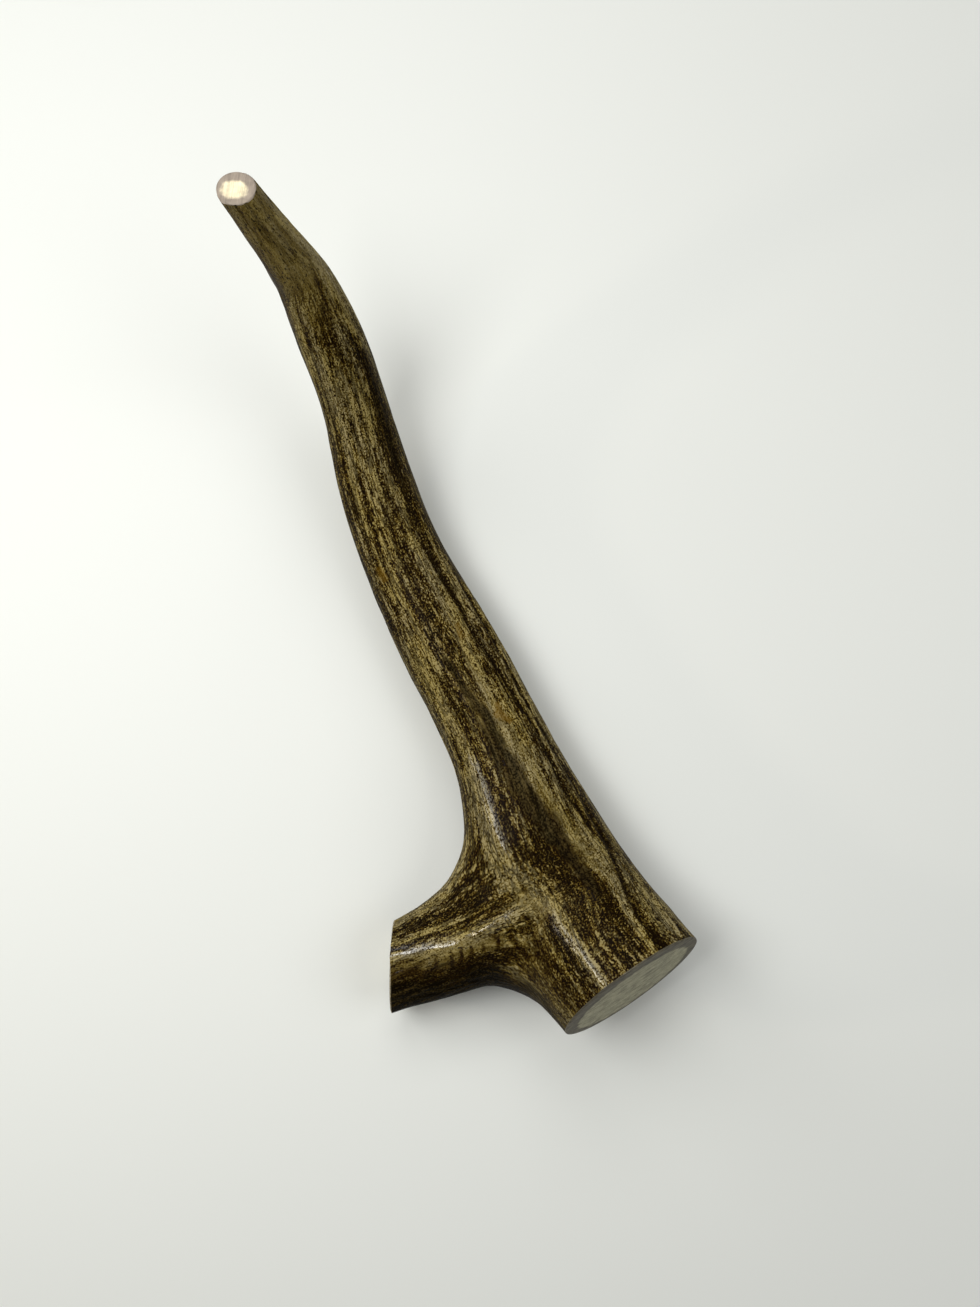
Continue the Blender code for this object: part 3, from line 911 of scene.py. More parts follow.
# %% The three crests: gloss, rounding, and x, y, z and height along the crest
CRESTS = {
    "up the beam": (0.38, 0.25, (
        (-4.0, -18.1, 22.7, 0.0), (-1.8, -24.8, 22.5, 0.5), (0.9, -32.5, 23.8, 1.0),
        (2.9, -38.8, 25.7, 1.4), (5.0, -46.0, 27.8, 1.5), (7.1, -50.8, 29.2, 1.4),
        (8.7, -55.9, 30.5, 0.9), (9.0, -61.9, 30.9, 0.2),
    )),
    "out along the tine": (1.7, 0.4, (
        (10.2, -66.5, 31.0, 0.3), (6.0, -69.3, 29.0, 1.1), (2.3, -72.0, 26.3, 1.5),
        (-1.2, -74.3, 24.3, 1.6), (-4.0, -75.8, 23.3, 1.6), (-7.4, -76.9, 22.6, 1.5),
        (-11.6, -77.6, 21.6, 1.4), (-17.4, -78.8, 20.1, 1.2), (-26.0, -80.9, 19.0, 1.0),
    )),
    "down the trunk": (0.5, 0.25, (
        (16.0, -65.5, 34.0, 0.1), (18.0, -66.7, 34.7, 0.5), (21.5, -70.3, 36.9, 0.9),
        (25.0, -74.3, 40.2, 1.1), (27.1, -77.3, 42.2, 1.1), (33.0, -85.5, 47.5, 1.1),
    )),
}
print("crests:", ", ".join(CRESTS))


# %% How far a point is from a crest
CREST_DEPTH = 2.5
LEAST_LENGTH = 1e-12


def crest_line(points, normals, line):
    """Each point's distance to a line of straight runs, and the line's height at its nearest place.

    On a run from a to b the nearest place is a + t (b - a), with t the share of the way at which
    the point lies abreast, held from 0 to 1. The height there is a's plus t times the rise to b's.
    The distance counts what lies along the skin, and the depth under it past a few millimetres.
    """
    line = np.array(line)
    nearest = np.full(len(points), np.inf)
    height = np.zeros(len(points))
    for start, end in zip(line[:-1], line[1:]):
        run = (end - start)[:3]
        from_start = points - start[:3]
        share = np.clip(from_start @ run / (run @ run), 0.0, 1.0)
        offset = from_start - share[:, None] * run
        depth = np.einsum("pc,pc->p", offset, normals)
        along_skin = np.maximum((offset**2).sum(axis=1) - depth**2, 0.0)
        distance = np.sqrt(along_skin + np.maximum(np.abs(depth) - CREST_DEPTH, 0.0) ** 2)
        closer = distance < nearest
        nearest = np.where(closer, distance, nearest)
        height = np.where(closer, start[3] + share * (end[3] - start[3]), height)
    return nearest, height


def normals_of(points, quads):
    """Each point's outward normal: the sum of the cross products of its faces' diagonals."""
    first = points[quads[:, 2]] - points[quads[:, 0]]
    second = points[quads[:, 3]] - points[quads[:, 1]]
    across = np.cross(first, second)
    total = np.stack(
        [np.bincount(quads.ravel(), np.repeat(part, 4), len(points)) for part in across.T], axis=-1
    )
    return total / np.maximum(np.linalg.norm(total, axis=1, keepdims=True), LEAST_LENGTH)


normals = normals_of(points, quads)
print("normals:", len(normals))

# %% Raise, wear and gloss the crests
CREST_REACH = 3.4
CREST_JOINING = 4.0
CREST_WEAR = 0.34
CREST_WEAR_REACH = 0.35

# With the distance in reaches, a roof is its height times e to the power of rounding less the
# root of (distance squared plus rounding squared). Where roofs meet, the rise is the fourth root
# of the sum of their fourth powers.
roofs = []
crest_wear = np.zeros(len(points))
crest_gloss = np.zeros(len(points))
for shine, rounding, line in CRESTS.values():
    distance, height = crest_line(points + shift, normals, line)
    away = distance / CREST_REACH
    roofs.append(height * np.exp(rounding - np.sqrt(away**2 + rounding**2)))
    rubbed = np.minimum(height, 1.0) * np.exp(-((away / CREST_WEAR_REACH) ** 2))
    crest_wear = np.maximum(crest_wear, rubbed)
    crest_gloss = np.maximum(crest_gloss, shine * rubbed)
crest_rise = sum(roof**CREST_JOINING for roof in roofs) ** (1.0 / CREST_JOINING)
worn += CREST_WEAR * crest_wear
gloss = np.maximum(crest_gloss, gloss)
print("the crests rise up to", round(crest_rise.max(), 2), "mm")

# %% [markdown]
# ## Relief
#
# The skin has wide flutes that can be felt with a thumb, ridges and narrow furrows along them, and
# pearls of a few tenths of a millimetre. A bump texture would shade them and leave the outline
# smooth, so the relief moves the points themselves. Worn bands stand a little higher, stained ones
# lie a little lower, and the fine relief calms down on the fork, where two grains meet.

# %% The relief in millimetres
# Each noise: mm along the grain, mm across it, and its seed
FLUTES = (60.0, 5.5, 11)
FLUTE_HEIGHT = 0.35
RIDGES = (26.0, 2.2, 21)
RIDGE_HEIGHT = 0.16
FURROWS = (34.0, 3.0, 31)
FURROW_DEPTH = 0.18
FURROW_WIDTH = 0.12
PEARLS = (4.5, 1.5, 41)
PEARL_HEIGHT = 0.07
WORN_RISE = 0.3
STAIN_SINK = 0.06
FORK_CALM = 3.6

flutes = FLUTE_HEIGHT * grain_noise(*FLUTES)
ridges = RIDGE_HEIGHT * grain_noise(*RIDGES)
# A furrow runs where its noise is near 0: its depth times e to minus (noise / width) squared
furrows = -FURROW_DEPTH * np.exp(-((grain_noise(*FURROWS) / FURROW_WIDTH) ** 2))
pearls = PEARL_HEIGHT * grain_noise(*PEARLS)
calm_at_fork = 1.0 - FORK_CALM * tine_share * (1.0 - tine_share)
fine_relief = calm_at_fork * (ridges + furrows) + pearls
relief = flutes + fine_relief + crest_rise + WORN_RISE * worn - STAIN_SINK * stain
print("the relief runs from", round(relief.min(), 2), "to", round(relief.max(), 2), "mm")

# %% [markdown]
# ## The mesh
#
# Points, faces and what is known about each point now become one mesh. The saw cuts stay flat,
# so only bark points move. The lowest one is set on the table again, because relief has lifted
# it. The values that the material needs go along as attributes, which Blender blends over each
# face. Smooth shading with sharp edges at the cuts saves a bevel.

# %% Move the points
on_bark = np.zeros(len(points))
on_bark[quads[finish[: len(quads)] == BARK].ravel()] = 1.0
moved = points + normals * (relief * on_bark)[:, None] + shift
moved[:, 2] += CAD_LOW[2] - moved[:, 2].min()
print("the skin spans", np.round(np.ptp(moved, axis=0), 1), "mm")

# %% Make the mesh
SHARP_ANGLE = 40.0

mesh = bpy.data.meshes.new("antler")
mesh.from_pydata((moved * MM).tolist(), [], quads.tolist() + triangles.tolist())
mesh.polygons.foreach_set("material_index", finish.astype(np.int32))
mesh.shade_smooth()
mesh.set_sharp_from_angle(angle=np.radians(SHARP_ANGLE))
mesh.validate()
antler = new_object("antler", mesh)
print("mesh:", len(mesh.vertices), "points,", len(mesh.polygons), "faces")

# %% Store what is known about each point
# The relief layer darkens furrows and lightens ridges in the tone: partly dirt and wear, partly
# painted shade.
FLUTES_SEEN = 0.3

values_by_layer = {
    "worn": worn,
    "stain": stain,
    "rust": rust,
    "smooth": smooth,
    "gloss": gloss,
    "relief": fine_relief + FLUTES_SEEN * flutes,
    "tine share": tine_share,
    "from rim": from_rim,
}
for name, values in values_by_layer.items():
    layer = mesh.attributes.new(name, "FLOAT", "POINT")
    layer.data.foreach_set("value", np.ascontiguousarray(values, np.float32))
for name, places in (("beam grain", on_beam), ("tine grain", on_tine)):
    layer = mesh.attributes.new(name, "FLOAT_VECTOR", "POINT")
    layer.data.foreach_set("vector", np.ascontiguousarray(places[:, :3], np.float32).ravel())
print("layers:", ", ".join(values_by_layer))

# %% [markdown]
# ## Short ways to make nodes
#
# A material is a tree of nodes. It can be wired by hand in the Shader Editor. In a script, one
# node takes four or five lines: make it, set it, link it. These helpers do that in one line, so
# that a material reads like the sum it works out.

# %% Nodes
def node(tree, kind, inputs=None, **settings):
    """Adds a node with settings. Each input, by name or number, is a value or another output."""
    made = tree.nodes.new("ShaderNode" + kind)
    for name, value in settings.items():
        setattr(made, name, value)
    for name, value in (inputs or {}).items():
        if isinstance(value, bpy.types.NodeSocket):
            tree.links.new(value, made.inputs[name])
        else:
            made.inputs[name].default_value = value
    return made


def new_group(name, inputs, outputs):
    """A node group with its sockets, and its input and output nodes."""
    group = bpy.data.node_groups.new(name, "ShaderNodeTree")
    for way, sockets in (("INPUT", inputs), ("OUTPUT", outputs)):
        for socket, kind in sockets.items():
            group.interface.new_socket(name=socket, in_out=way, socket_type="NodeSocket" + kind)
    return group, group.nodes.new("NodeGroupInput"), group.nodes.new("NodeGroupOutput")


def new_material(name, finish):
    """A material, its tree and its Principled shader, with the finish set on its sockets."""
    material = bpy.data.materials.new(name)
    material.use_nodes = True
    shader = material.node_tree.nodes["Principled BSDF"]
    for socket, value in finish.items():
        shader.inputs[socket].default_value = value
    return material, material.node_tree, shader


def bumped(tree, shader, height, distance):
    """Feeds a height into the shader's normal, as a bump of so many mm."""
    bump = node(tree, "Bump", {"Height": height, "Distance": distance * MM, "Strength": 1.0})
    tree.links.new(bump.outputs[0], shader.inputs["Normal"])


def attribute(tree, name, output="Fac"):
    """The output of an Attribute node that reads one of the mesh's own layers."""
    return node(tree, "Attribute", attribute_name=name).outputs[output]


print("material slots so far:", len(mesh.materials))


# %% Sums, steps and mixes
NOISE_MIDDLE = 0.5


def maths(tree, operation, first, second=0.0, clamp=False):
    """The output of a Math node."""
    made = node(tree, "Math", {0: first, 1: second}, operation=operation, use_clamp=clamp)
    return made.outputs[0]


def weighted(tree, start, terms):
    """The start plus each value less its middle, times its weight."""
    total = start
    for value, middle, weight in terms:
        off = maths(tree, "SUBTRACT", value, middle)
        total = maths(tree, "ADD", total, maths(tree, "MULTIPLY", off, weight))
    return total


def patterned(tree, start, value, weights):
    """The start plus each named noise less its middle, times its weight."""
    return weighted(tree, start, [(value[name], NOISE_MIDDLE, weights[name]) for name in weights])


def eased(tree, value, low, high):
    """0 below the low level, 1 above the high one, and a soft step between."""
    limits = {0: value, 1: low, 2: high}
    return node(tree, "MapRange", limits, interpolation_type="SMOOTHSTEP").outputs[0]


def below(tree, value, low, high):
    """1 below the low level and 0 above the high one: 1 less the soft step."""
    return maths(tree, "SUBTRACT", 1.0, eased(tree, value, low, high))


def line_along(tree, value, width):
    """1 where a noise is at its middle and 0 from a width off: thin lines along its slopes."""
    off = maths(tree, "ABSOLUTE", maths(tree, "SUBTRACT", value, NOISE_MIDDLE))
    return below(tree, off, 0.0, width)


def mixed(tree, share, first, second, blend="MIX"):
    """The first colour turning into the second as the share grows."""
    inputs = {0: share, 6: first, 7: second}
    return node(tree, "Mix", inputs, data_type="RGBA", blend_type=blend).outputs[2]


def linear(red, green, blue):
    """An sRGB colour of 0 to 255 as the linear colour that a shader takes.

    By the sRGB curve, a share up to 0.04045 is divided by 12.92. Above that it is (share + 0.055)
    / 1.055 to the power 2.4.
    """
    share = np.array((red, green, blue)) / 255.0
    value = np.where(share <= 0.04045, share / 12.92, ((share + 0.055) / 1.055) ** 2.4)
    return (*value.tolist(), 1.0)


print("a grey of 128 is", round(linear(128, 128, 128)[0], 3), "in linear light")

# %% [markdown]
# ## The patterns of the grain
#
# Close up, bark is made of patches some centimetres long, streaks, hair-thin threads, cracks,
# dashes, and specks and spots of about a millimetre or less. A Wave or Voronoi texture would look
# regular. Each pattern here is a Noise Texture whose place in the grain is divided by a cell's
# length and width, so that it stretches along the limb. The group works them out for one limb,
# and a second group mixes the beam's and the tine's by the tine's share of the point.

# %% The patterns of one limb: mm along and across, detail, and how much they bend
PATTERNS = {
    "Hues": (18.0, 4.0, 1.0, 0.0),
    "Patches": (36.0, 5.0, 2.0, 0.0),
    "Streaks": (24.0, 1.5, 2.0, 0.3),
    "Threads": (40.0, 1.3, 1.0, 0.2),
    "Cracks": (6.5, 1.3, 1.0, 0.4),
    "Dashes": (3.2, 0.65, 1.0, 0.3),
    "Specks": (0.5, 0.36, 0.5, 0.0),
    "Spots": (1.3, 0.75, 1.0, 0.0),
}


def grain_group():
    """Noises stretched along one limb: each place is divided by its cell's length and width."""
    outputs = {name: "Float" for name in PATTERNS}
    group, given, result = new_group("grain of a limb", {"Grain": "Vector"}, outputs)
    for name, (along, across, detail, bend) in PATTERNS.items():
        cells = {0: given.outputs["Grain"], 1: (1.0 / along, 1.0 / across, 1.0 / across)}
        place = node(group, "VectorMath", cells, operation="MULTIPLY").outputs[0]
        settings = {"Vector": place, "Scale": 1.0, "Detail": detail, "Distortion": bend}
        noise = node(group, "TexNoise", settings).outputs[0]
        group.links.new(noise, result.inputs[name])
    return group


one_limb = grain_group()
print("patterns:", ", ".join(PATTERNS))


# %% The patterns of both limbs
def both_limbs_group():
    """The grain patterns of the beam and the tine, mixed by the tine's share of the point."""
    inputs = {"Beam grain": "Vector", "Tine grain": "Vector", "Tine share": "Float"}
    outputs = {name: "Float" for name in PATTERNS}
    group, given, result = new_group("grain of the antler", inputs, outputs)
    beam_grain, tine_grain = (
        node(group, "Group", {"Grain": given.outputs[socket]}, node_tree=one_limb).outputs
        for socket in ("Beam grain", "Tine grain")
    )
    for name in PATTERNS:
        values = {0: given.outputs["Tine share"], 2: beam_grain[name], 3: tine_grain[name]}
        group.links.new(node(group, "Mix", values).outputs[0], result.inputs[name])
    return group


both_limbs = both_limbs_group()
print("nodes in the mixed group:", len(both_limbs.nodes))

# %% [markdown]
# ## Light and dark bark
#
# Bark is tan where it is worn and dark brown where it is rough, with little in between. A plain
# mix of noises would give an even, cloudy brown. So the wear, the relief and the broad patterns are
# added, and a steep but soft step parts the sum into two. The relief makes furrows darker and
# ridges paler, partly as dirt and wear and partly as painted shade. Specks and dashes then shade
# both sides. The result is one number, 0 for the darkest bark and 1 for the palest.

# %% The tone of the bark
BAND_PATTERN = {"Patches": 0.9, "Streaks": 1.7, "Dashes": 0.8}
WEAR_START = -0.52
WEAR_WEIGHT = 0.95
# The relief's weight in the tone: furrows darker and ridges paler, partly painted shade.
RELIEF_WEIGHT = 0.3
BAND_STEP = (0.2, 0.82)
DARK_TONE = 0.19
TAN_RISE = 0.69
FINE_PATTERN = {"Specks": 2.9, "Dashes": 1.1}


def bark_tone(group, value, rough):
    """The dark tone, plus the rise to tan times a soft step of the bands, plus the fine grain."""
    broad = maths(group, "MULTIPLY", patterned(group, 0.0, value, BAND_PATTERN), rough)
    wear = (value["Worn"], WEAR_START, WEAR_WEIGHT)
    broad = weighted(group, broad, (wear, (value["Relief"], 0.0, RELIEF_WEIGHT)))
    bands = eased(group, broad, *BAND_STEP)
    fine = maths(group, "MULTIPLY", patterned(group, 0.0, value, FINE_PATTERN), rough)
    return weighted(group, DARK_TONE, ((bands, 0.0, TAN_RISE), (fine, 0.0, 1.0)))


print("tones of bare dark and tan bark:", DARK_TONE, "and", DARK_TONE + TAN_RISE)

# %% [markdown]
# ## Pits, threads and cracks
#
# Dirt stays in the smallest hollows and turns them nearly black: in pits where the bark is rough,
# in long broken threads and short cracks along the grain, and in single spots where it is smooth.
# Dark paint from a mask could do it, but four thresholds on the same patterns follow the grain.

# %% The pits of the bark
PIT_START = 0.34
PIT_WEAR = 0.8
PIT_PATTERN = {"Patches": 0.5, "Streaks": 0.9, "Dashes": 1.6, "Specks": 1.2}
PIT_STEP = (-0.1, 0.1)
THREAD_WIDTH = 0.06
THREAD_BREAKS = (0.36, 0.5)
CRACK_WIDTH = 0.09
CRACK_ROUGHENED = {"Specks": 1.2}
CRACK_STEP = (0.3, 1.0)
CRACK_DARK = 0.8
SPECK_ROUGHENED = {"Dashes": 0.6}
SPECK_STEP = (0.24, 0.34)
SPECK_DARK = 0.8
SPOT_STEP = (0.3, 0.37)


def bark_pits(group, value, rough):
    """The darkest of the pits, the broken threads and the cracks, and of specks and spots."""
    pits = weighted(group, PIT_START, ((value["Worn"], 0.0, PIT_WEAR),))
    pits = below(group, patterned(group, pits, value, PIT_PATTERN), *PIT_STEP)
    broken = eased(group, value["Dashes"], *THREAD_BREAKS)
    thread = maths(group, "MULTIPLY", line_along(group, value["Threads"], THREAD_WIDTH), broken)
    crack = line_along(group, value["Cracks"], CRACK_WIDTH)
    crack = eased(group, patterned(group, crack, value, CRACK_ROUGHENED), *CRACK_STEP)
    crack = maths(group, "MULTIPLY", crack, CRACK_DARK)
    lines = maths(group, "MAXIMUM", thread, crack)
    pits = maths(group, "MULTIPLY", maths(group, "MAXIMUM", pits, lines), rough)
    speck = patterned(group, value["Specks"], value, SPECK_ROUGHENED)
    speck = maths(group, "MULTIPLY", below(group, speck, *SPECK_STEP), SPECK_DARK)
    spot = maths(group, "MULTIPLY", below(group, value["Spots"], *SPOT_STEP), value["Smooth"])
    return maths(group, "MAXIMUM", maths(group, "MAXIMUM", pits, speck), spot)


print("threads fill", 2 * THREAD_WIDTH, "of their noise's range")

# %% [markdown]
# ## The colours of the bark
#
# A tone becomes a colour on a ramp from near black over olive brown to pale tan. One ramp would
# make all bark the same hue, so a slow noise warms some places and greys others. Pits, stains
# and rust are mixed over it in that order, as they lie on the real thing.

# %% Colours
BARK_RAMP = (
    (0.0, linear(20, 8, 0)),
    (0.2, linear(44, 28, 2)),
    (0.4, linear(69, 54, 15)),
    (0.6, linear(94, 79, 34)),
    (0.8, linear(121, 106, 60)),
    (1.0, linear(152, 138, 92)),
)
BARK_HUES = (1.03, 1.0, 0.84, 1.0), (0.98, 0.99, 1.12, 1.0)
HUE_STEP = (0.36, 0.64)
PIT_COLOUR = linear(14, 6, 0)
PIT_COVER = 0.85
STAIN_COLOURS = linear(9, 6, 1), linear(62, 50, 24)
STAIN_EDGE = {"Streaks": 1.0, "Dashes": 1.0, "Specks": 1.0}
STAIN_STEP = (0.15, 0.85)
STAIN_COVER = 0.9
STAIN_LIGHT = 0.28
STAIN_WEAR = 0.5
STAIN_PATTERN = {"Threads": 1.6, "Dashes": 1.6, "Specks": 2.4}
RUST_COLOUR = linear(104, 76, 12)
RUST_EDGE = {"Dashes": 1.2}
RUST_STEP = (0.1, 0.9)
RUST_COVER = 0.6


def ramp(tree, value, stops):
    """The colour at a value between the stops' positions."""
    made = node(tree, "ValToRGB", {0: value})
    elements = made.color_ramp.elements
    while len(elements) < len(stops):
        elements.new(1.0)
    for element, (position, colour) in zip(elements, stops):
        element.position = position
        element.color = colour
    return made.outputs[0]


def stain_colour(group, value):
    """The dark stain turning into the pale one as its light, wear and pattern add up."""
    light = weighted(group, STAIN_LIGHT, ((value["Worn"], 0.0, STAIN_WEAR),))
    light = patterned(group, light, value, STAIN_PATTERN)
    return mixed(group, maths(group, "ADD", light, 0.0, clamp=True), *STAIN_COLOURS)


print("colours on the ramp:", len(BARK_RAMP))

# %% The bark's node group
BARK_LAYERS = ("Worn", "Stain", "Rust", "Smooth", "Gloss", "Relief")
SMOOTHING = -0.75
SPARKLE_STEP = (0.34, 0.58)
BARE_SHINE = 0.005
SMOOTH_SHINE = 0.05
STAIN_SHINE = -0.06


def bark_group():
    """Bark colour, pits and shine, from the strokes and the grain."""
    inputs = {name: "Float" for name in (*BARK_LAYERS, *PATTERNS)}
    outputs = {"Color": "Color", "Pits": "Float", "Shine": "Float"}
    group, given, result = new_group("bark colour", inputs, outputs)
    value = given.outputs
    rough = weighted(group, 1.0, ((value["Smooth"], 0.0, SMOOTHING),))
    pits = bark_pits(group, value, rough)
    stained = eased(group, patterned(group, value["Stain"], value, STAIN_EDGE), *STAIN_STEP)
    rusty = eased(group, patterned(group, value["Rust"], value, RUST_EDGE), *RUST_STEP)

    hue = mixed(group, eased(group, value["Hues"], *HUE_STEP), *BARK_HUES)
    colour = ramp(group, bark_tone(group, value, rough), BARK_RAMP)
    colour = mixed(group, 1.0, colour, hue, "MULTIPLY")
    colour = mixed(group, maths(group, "MULTIPLY", pits, PIT_COVER), colour, PIT_COLOUR)
    cover = maths(group, "MULTIPLY", stained, STAIN_COVER)
    colour = mixed(group, cover, colour, stain_colour(group, value))
    colour = mixed(group, maths(group, "MULTIPLY", rusty, RUST_COVER), colour, RUST_COLOUR)

    sparkle = maths(group, "MULTIPLY", value["Gloss"], eased(group, value["Specks"], *SPARKLE_STEP))
    shine = ((value["Smooth"], 0.0, SMOOTH_SHINE), (stained, 0.0, STAIN_SHINE))
    shine = maths(group, "ADD", sparkle, weighted(group, BARE_SHINE, shine), clamp=True)
    for name, output in (("Color", colour), ("Pits", pits), ("Shine", shine)):
        group.links.new(output, result.inputs[name])
    return group


bark_nodes = bark_group()
print("nodes in the bark's group:", len(bark_nodes.nodes))

# %% [markdown]
# ## The bark's material
#
# Rubbed bark has a thin gloss, as if waxed, over a dull and rough ground. Lower roughness would
# make the whole surface gleam. A coat is closer: it lies over the dull colour, only as strong as
# the gloss strokes say, and its specks make it sparkle. Pits, dashes and specks also go into a
# bump of a fifth of a millimetre, too fine to be worth points of the mesh.

# %% The bark's material
BARK_FINISH = {
    "Coat Roughness": 0.22,
    "Coat IOR": 1.9,
    "Specular IOR Level": 0.02,
    "Roughness": 0.5,
}
BUMP_PITS = -0.3
BUMP_PATTERN = {"Dashes": 1.2, "Specks": 1.0}
BARK_BUMP = 0.22


def bark_material():
    """Dull bark with a thin gloss, and bumps of its pits, dashes and specks."""
    material, tree, shader = new_material("antler bark", BARK_FINISH)
    grains = {
        "Beam grain": attribute(tree, "beam grain", "Vector"),
        "Tine grain": attribute(tree, "tine grain", "Vector"),
        "Tine share": attribute(tree, "tine share"),
    }
    patterns = node(tree, "Group", grains, node_tree=both_limbs).outputs
    known = {name: attribute(tree, name.lower()) for name in BARK_LAYERS}
    known |= {name: patterns[name] for name in PATTERNS}
    bark = node(tree, "Group", known, node_tree=bark_nodes).outputs
    tree.links.new(bark["Color"], shader.inputs["Base Color"])
    tree.links.new(bark["Shine"], shader.inputs["Coat Weight"])
    height = weighted(tree, 0.0, ((bark["Pits"], 0.0, BUMP_PITS),))
    bumped(tree, shader, patterned(tree, height, patterns, BUMP_PATTERN), BARK_BUMP)
    return material


mesh.materials.append(bark_material())
print("first material:", mesh.materials[BARK].name)

# %% [markdown]
# ## Saw marks
#
# A saw leaves fine, nearly straight lines, some of them bright scratches, on a mottled face. All
# three cuts have them, so they are one node group. A Wave texture is too regular. A noise whose
# place is measured along and across the saw's strokes, in long thin cells, is close to the real
# marks. The group also tells wall from core, by the distance from the rim that the mesh stores.

# %% The saw's node group
SAW_CELL = {"Along": 14.0, "Across": 0.8}
SAW_NOISE = {"Scale": 1.0, "Detail": 2.0}
MOTTLE_CELL = 2.2
MOTTLE_NOISE = {"Scale": 1.0 / (MOTTLE_CELL * MM), "Detail": 4.0, "Roughness": 0.6}
WALL_MOTTLE = 1.4
WALL_LINES = 0.3
WALL_BLUR = 0.5
SCRATCH_WIDTH = 0.03


def saw_group():
    """A saw's lines, scratches and mottle, and the hard wall round the core.

    The wall is where the distance from the rim, roughened by both noises, is under its width.
    """
    vectors = {"Place": "Vector", "Along": "Vector", "Across": "Vector"}
    outputs = {"Wall": "Float", "Lines": "Float", "Scratches": "Float", "Mottle": "Float"}
    group, given, result = new_group(
        "saw marks", vectors | {"From rim": "Float", "Width": "Float"}, outputs
    )
    value = given.outputs
    measured = []
    for way, cell in SAW_CELL.items():
        dot = node(group, "VectorMath", {0: value["Place"], 1: value[way]}, operation="DOT_PRODUCT")
        measured.append(maths(group, "DIVIDE", dot.outputs["Value"], cell * MM))
    place = node(group, "CombineXYZ", {0: measured[0], 1: measured[1]}).outputs[0]
    lines = node(group, "TexNoise", {"Vector": place} | SAW_NOISE).outputs[0]
    mottle = node(group, "TexNoise", {"Vector": value["Place"]} | MOTTLE_NOISE).outputs[0]
    depth = weighted(group, value["From rim"], (
        (mottle, NOISE_MIDDLE, WALL_MOTTLE),
        (lines, NOISE_MIDDLE, WALL_LINES),
    ))
    outer = maths(group, "SUBTRACT", value["Width"], WALL_BLUR)
    inner = maths(group, "ADD", value["Width"], WALL_BLUR)
    wall = below(group, depth, outer, inner)
    scratches = line_along(group, lines, SCRATCH_WIDTH)
    for name, output in zip(outputs, (wall, lines, scratches, mottle)):
        group.links.new(output, result.inputs[name])
    return group


saw_marks = saw_group()
print("nodes in the saw's group:", len(saw_marks.nodes))

# %% [markdown]
# ## The sawn faces
#
# The wall of a cut is grey and dense, and the core paler and spongy. The base's colours are the
# greyest and darkest, partly the bone's own and partly painted shade of a face turned away from
# the light, and the core of the thin tip is nearly white. The three faces could share one material
# if it took its colours from attributes, but three small ones with the same group are easier to
# change.

# %% The sawn faces
# Each kind of mark: its middle and its weight
SAWN_SHADE = (
    ("Lines", NOISE_MIDDLE, 1.2),
    ("Scratches", 0.2, 0.45),
    ("Mottle", NOISE_MIDDLE, 1.8),
)
SAWN_FINISH = {"Roughness": 0.6, "Specular IOR Level": 0.2}
SAWN_BUMP = 0.12
# Each face: its cut, the saw's way, how strong its marks are, the wall's mm, and the colours of
# its wall and its core
SAWN_FACES = {
    # The base's darker, greyer wall and core are partly the bone's own and partly painted shade.
    "sawn base": (BASE_CUT, (1.0, 0.1, 0.0), 1.0, 3.2, (98, 92, 76), (160, 156, 128)),
    "sawn tip": (TIP_CUT, (0.1, 1.0, 0.0), 0.5, 1.5, (150, 138, 124), (236, 222, 186)),
    "sawn tine": (TINE_CUT, (0.0, 0.3, 1.0), 1.0, 2.6, (140, 130, 106), (176, 164, 128)),
}


def sawn_material(name, cut, saw_way, strength, width, wall, core):
    """A hard wall of one colour round a core of another, times the shade of the saw's marks."""
    material, tree, shader = new_material(name, SAWN_FINISH)
    normal = facing(cut)
    along = unit(np.array(saw_way) - (np.array(saw_way) @ normal) * normal)
    inputs = {
        "Place": node(tree, "TexCoord").outputs["Object"],
        "Along": along.tolist(),
        "Across": np.cross(normal, along).tolist(),
        "From rim": attribute(tree, "from rim"),
        "Width": width,
    }
    saw = node(tree, "Group", inputs, node_tree=saw_marks).outputs
    colour = mixed(tree, saw["Wall"], linear(*core), linear(*wall))
    marks = [(saw[mark], middle, strength * weight) for mark, middle, weight in SAWN_SHADE]
    shade = weighted(tree, 1.0, marks)
    tree.links.new(mixed(tree, 1.0, colour, shade, "MULTIPLY"), shader.inputs["Base Color"])
    bumped(tree, shader, saw["Lines"], SAWN_BUMP)
    return material


for name, face in SAWN_FACES.items():
    mesh.materials.append(sawn_material(name, *face))
print("materials:", ", ".join(material.name for material in mesh.materials))

# %% [markdown]
# ## One piece for two solids
#
# The CAD parted the antler at its fork with a thin gap, which the real one does not have. The
# skin replaces both solids and rides on their one body.

# %% Take the solids' place
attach(antler, "root")
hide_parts("main_beam", "side_tine")
print("the antler's skin is in the place of the solids")

# %% [markdown]
# ## The table
#
# The antler lies on a plain, matt, nearly white table. A paper sweep would hide the far edge, but
# one wide flat square is enough here, because its edges are far outside the view.

# %% The floor
FLOOR_HALF = 4.0
FLOOR_FINISH = {"Base Color": linear(231, 233, 227), "Roughness": 0.6}

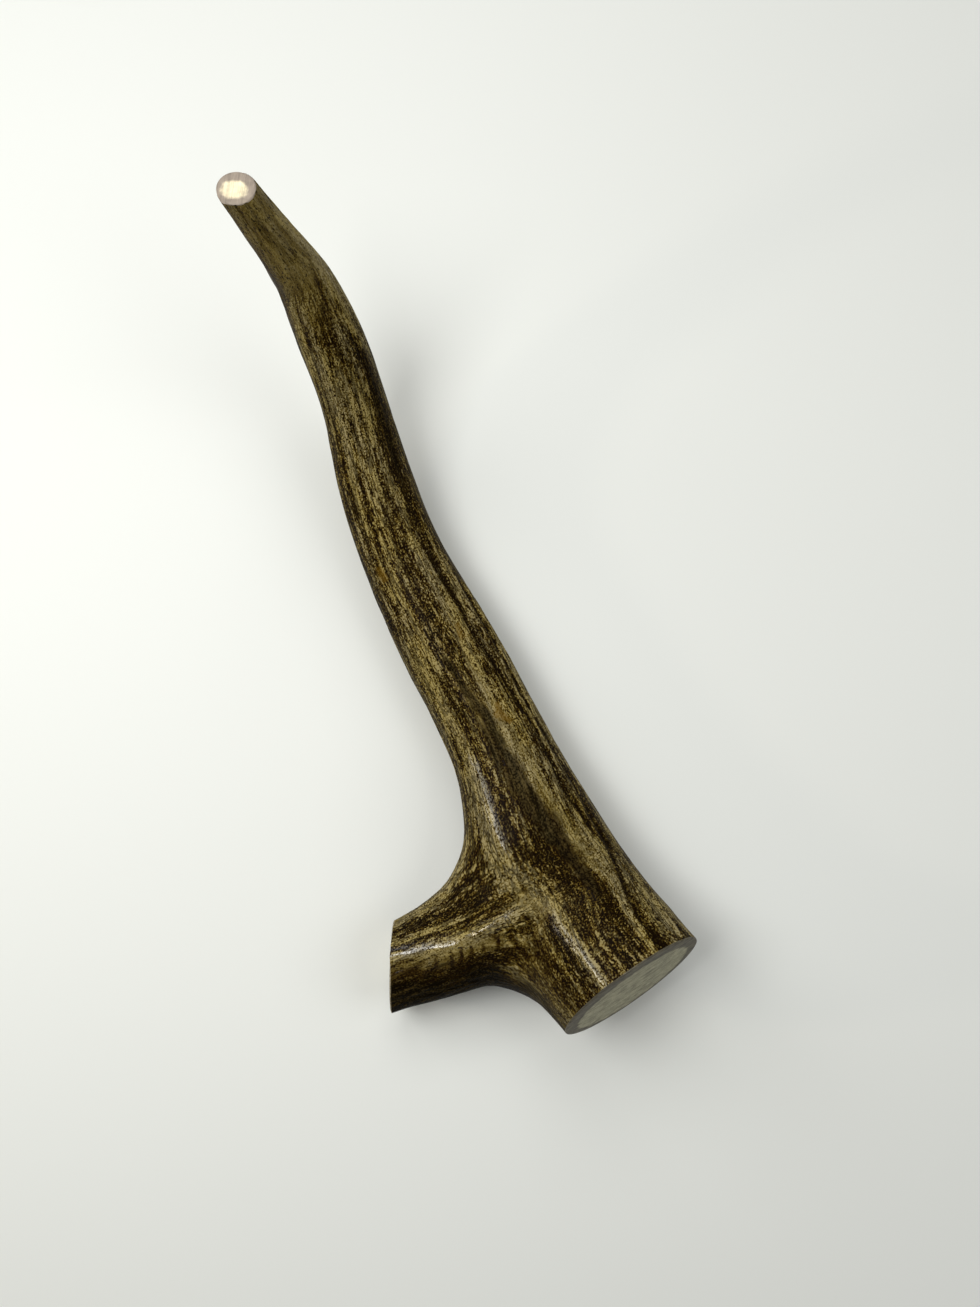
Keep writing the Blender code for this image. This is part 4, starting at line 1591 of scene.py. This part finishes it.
floor_mesh = bpy.data.meshes.new("floor")
floor_corners = [
    (-FLOOR_HALF, -FLOOR_HALF, 0.0),
    (FLOOR_HALF, -FLOOR_HALF, 0.0),
    (FLOOR_HALF, FLOOR_HALF, 0.0),
    (-FLOOR_HALF, FLOOR_HALF, 0.0),
]
floor_mesh.from_pydata(floor_corners, [], [(0, 1, 2, 3)])
floor = new_object("floor", floor_mesh)
floor_mesh.materials.append(new_material("pale table", FLOOR_FINISH)[0])
print("the table is", 2 * FLOOR_HALF, "m wide")

# %% [markdown]
# ## The light
#
# The shadows are soft and fall to the right, and the crests glint along their whole length. One
# big lamp would give the shadows but no glints, and one small lamp the reverse. So a broad key
# high on the left makes the shadows, a small low lamp finds the crests, and three wide lamps and
# a dim world fill the rest. The Standard view keeps the white table white.

# %% Lamps: place in metres, power in watts, size in metres and colour
WHITE = (1.0, 1.0, 1.0)
WARM = (1.0, 0.9, 0.76)
LAMPS = {
    "key from the left": ((-0.20, 0.06, 0.42), 1.15, 0.2, WHITE),
    "low lamp from the left": ((-0.50, -0.05, 0.23), 0.28, 0.05, WARM),
    "window behind": ((-0.1, 0.8, 0.9), 3.9, 0.6, WHITE),
    "window behind left": ((-0.6, 0.4, 0.5), 1.4, 0.4, WHITE),
    "fill from the right": ((0.5, 0.0, 0.6), 1.6, 0.5, WHITE),
}


def soft_light(name, place, power, size, colour):
    """A square area lamp at a place, turned towards the piece."""
    data = bpy.data.lights.new(name, "AREA")
    data.energy = power
    data.size = size
    data.color = colour
    put(new_object(name, data), place, Vector(place).to_track_quat("Z", "Y"))


for name, lamp_values in LAMPS.items():
    soft_light(name, *lamp_values)
print("lamps:", ", ".join(LAMPS))

# %% The world and the view
WORLD_STRENGTH = 0.11

world = bpy.data.worlds.new("studio")
world.use_nodes = True
world_shader = world.node_tree.nodes["Background"]
world_shader.inputs["Color"].default_value = (*WHITE, 1.0)
world_shader.inputs["Strength"].default_value = WORLD_STRENGTH
bpy.context.scene.world = world
bpy.context.scene.view_settings.view_transform = "Standard"
print("the world gives", WORLD_STRENGTH)
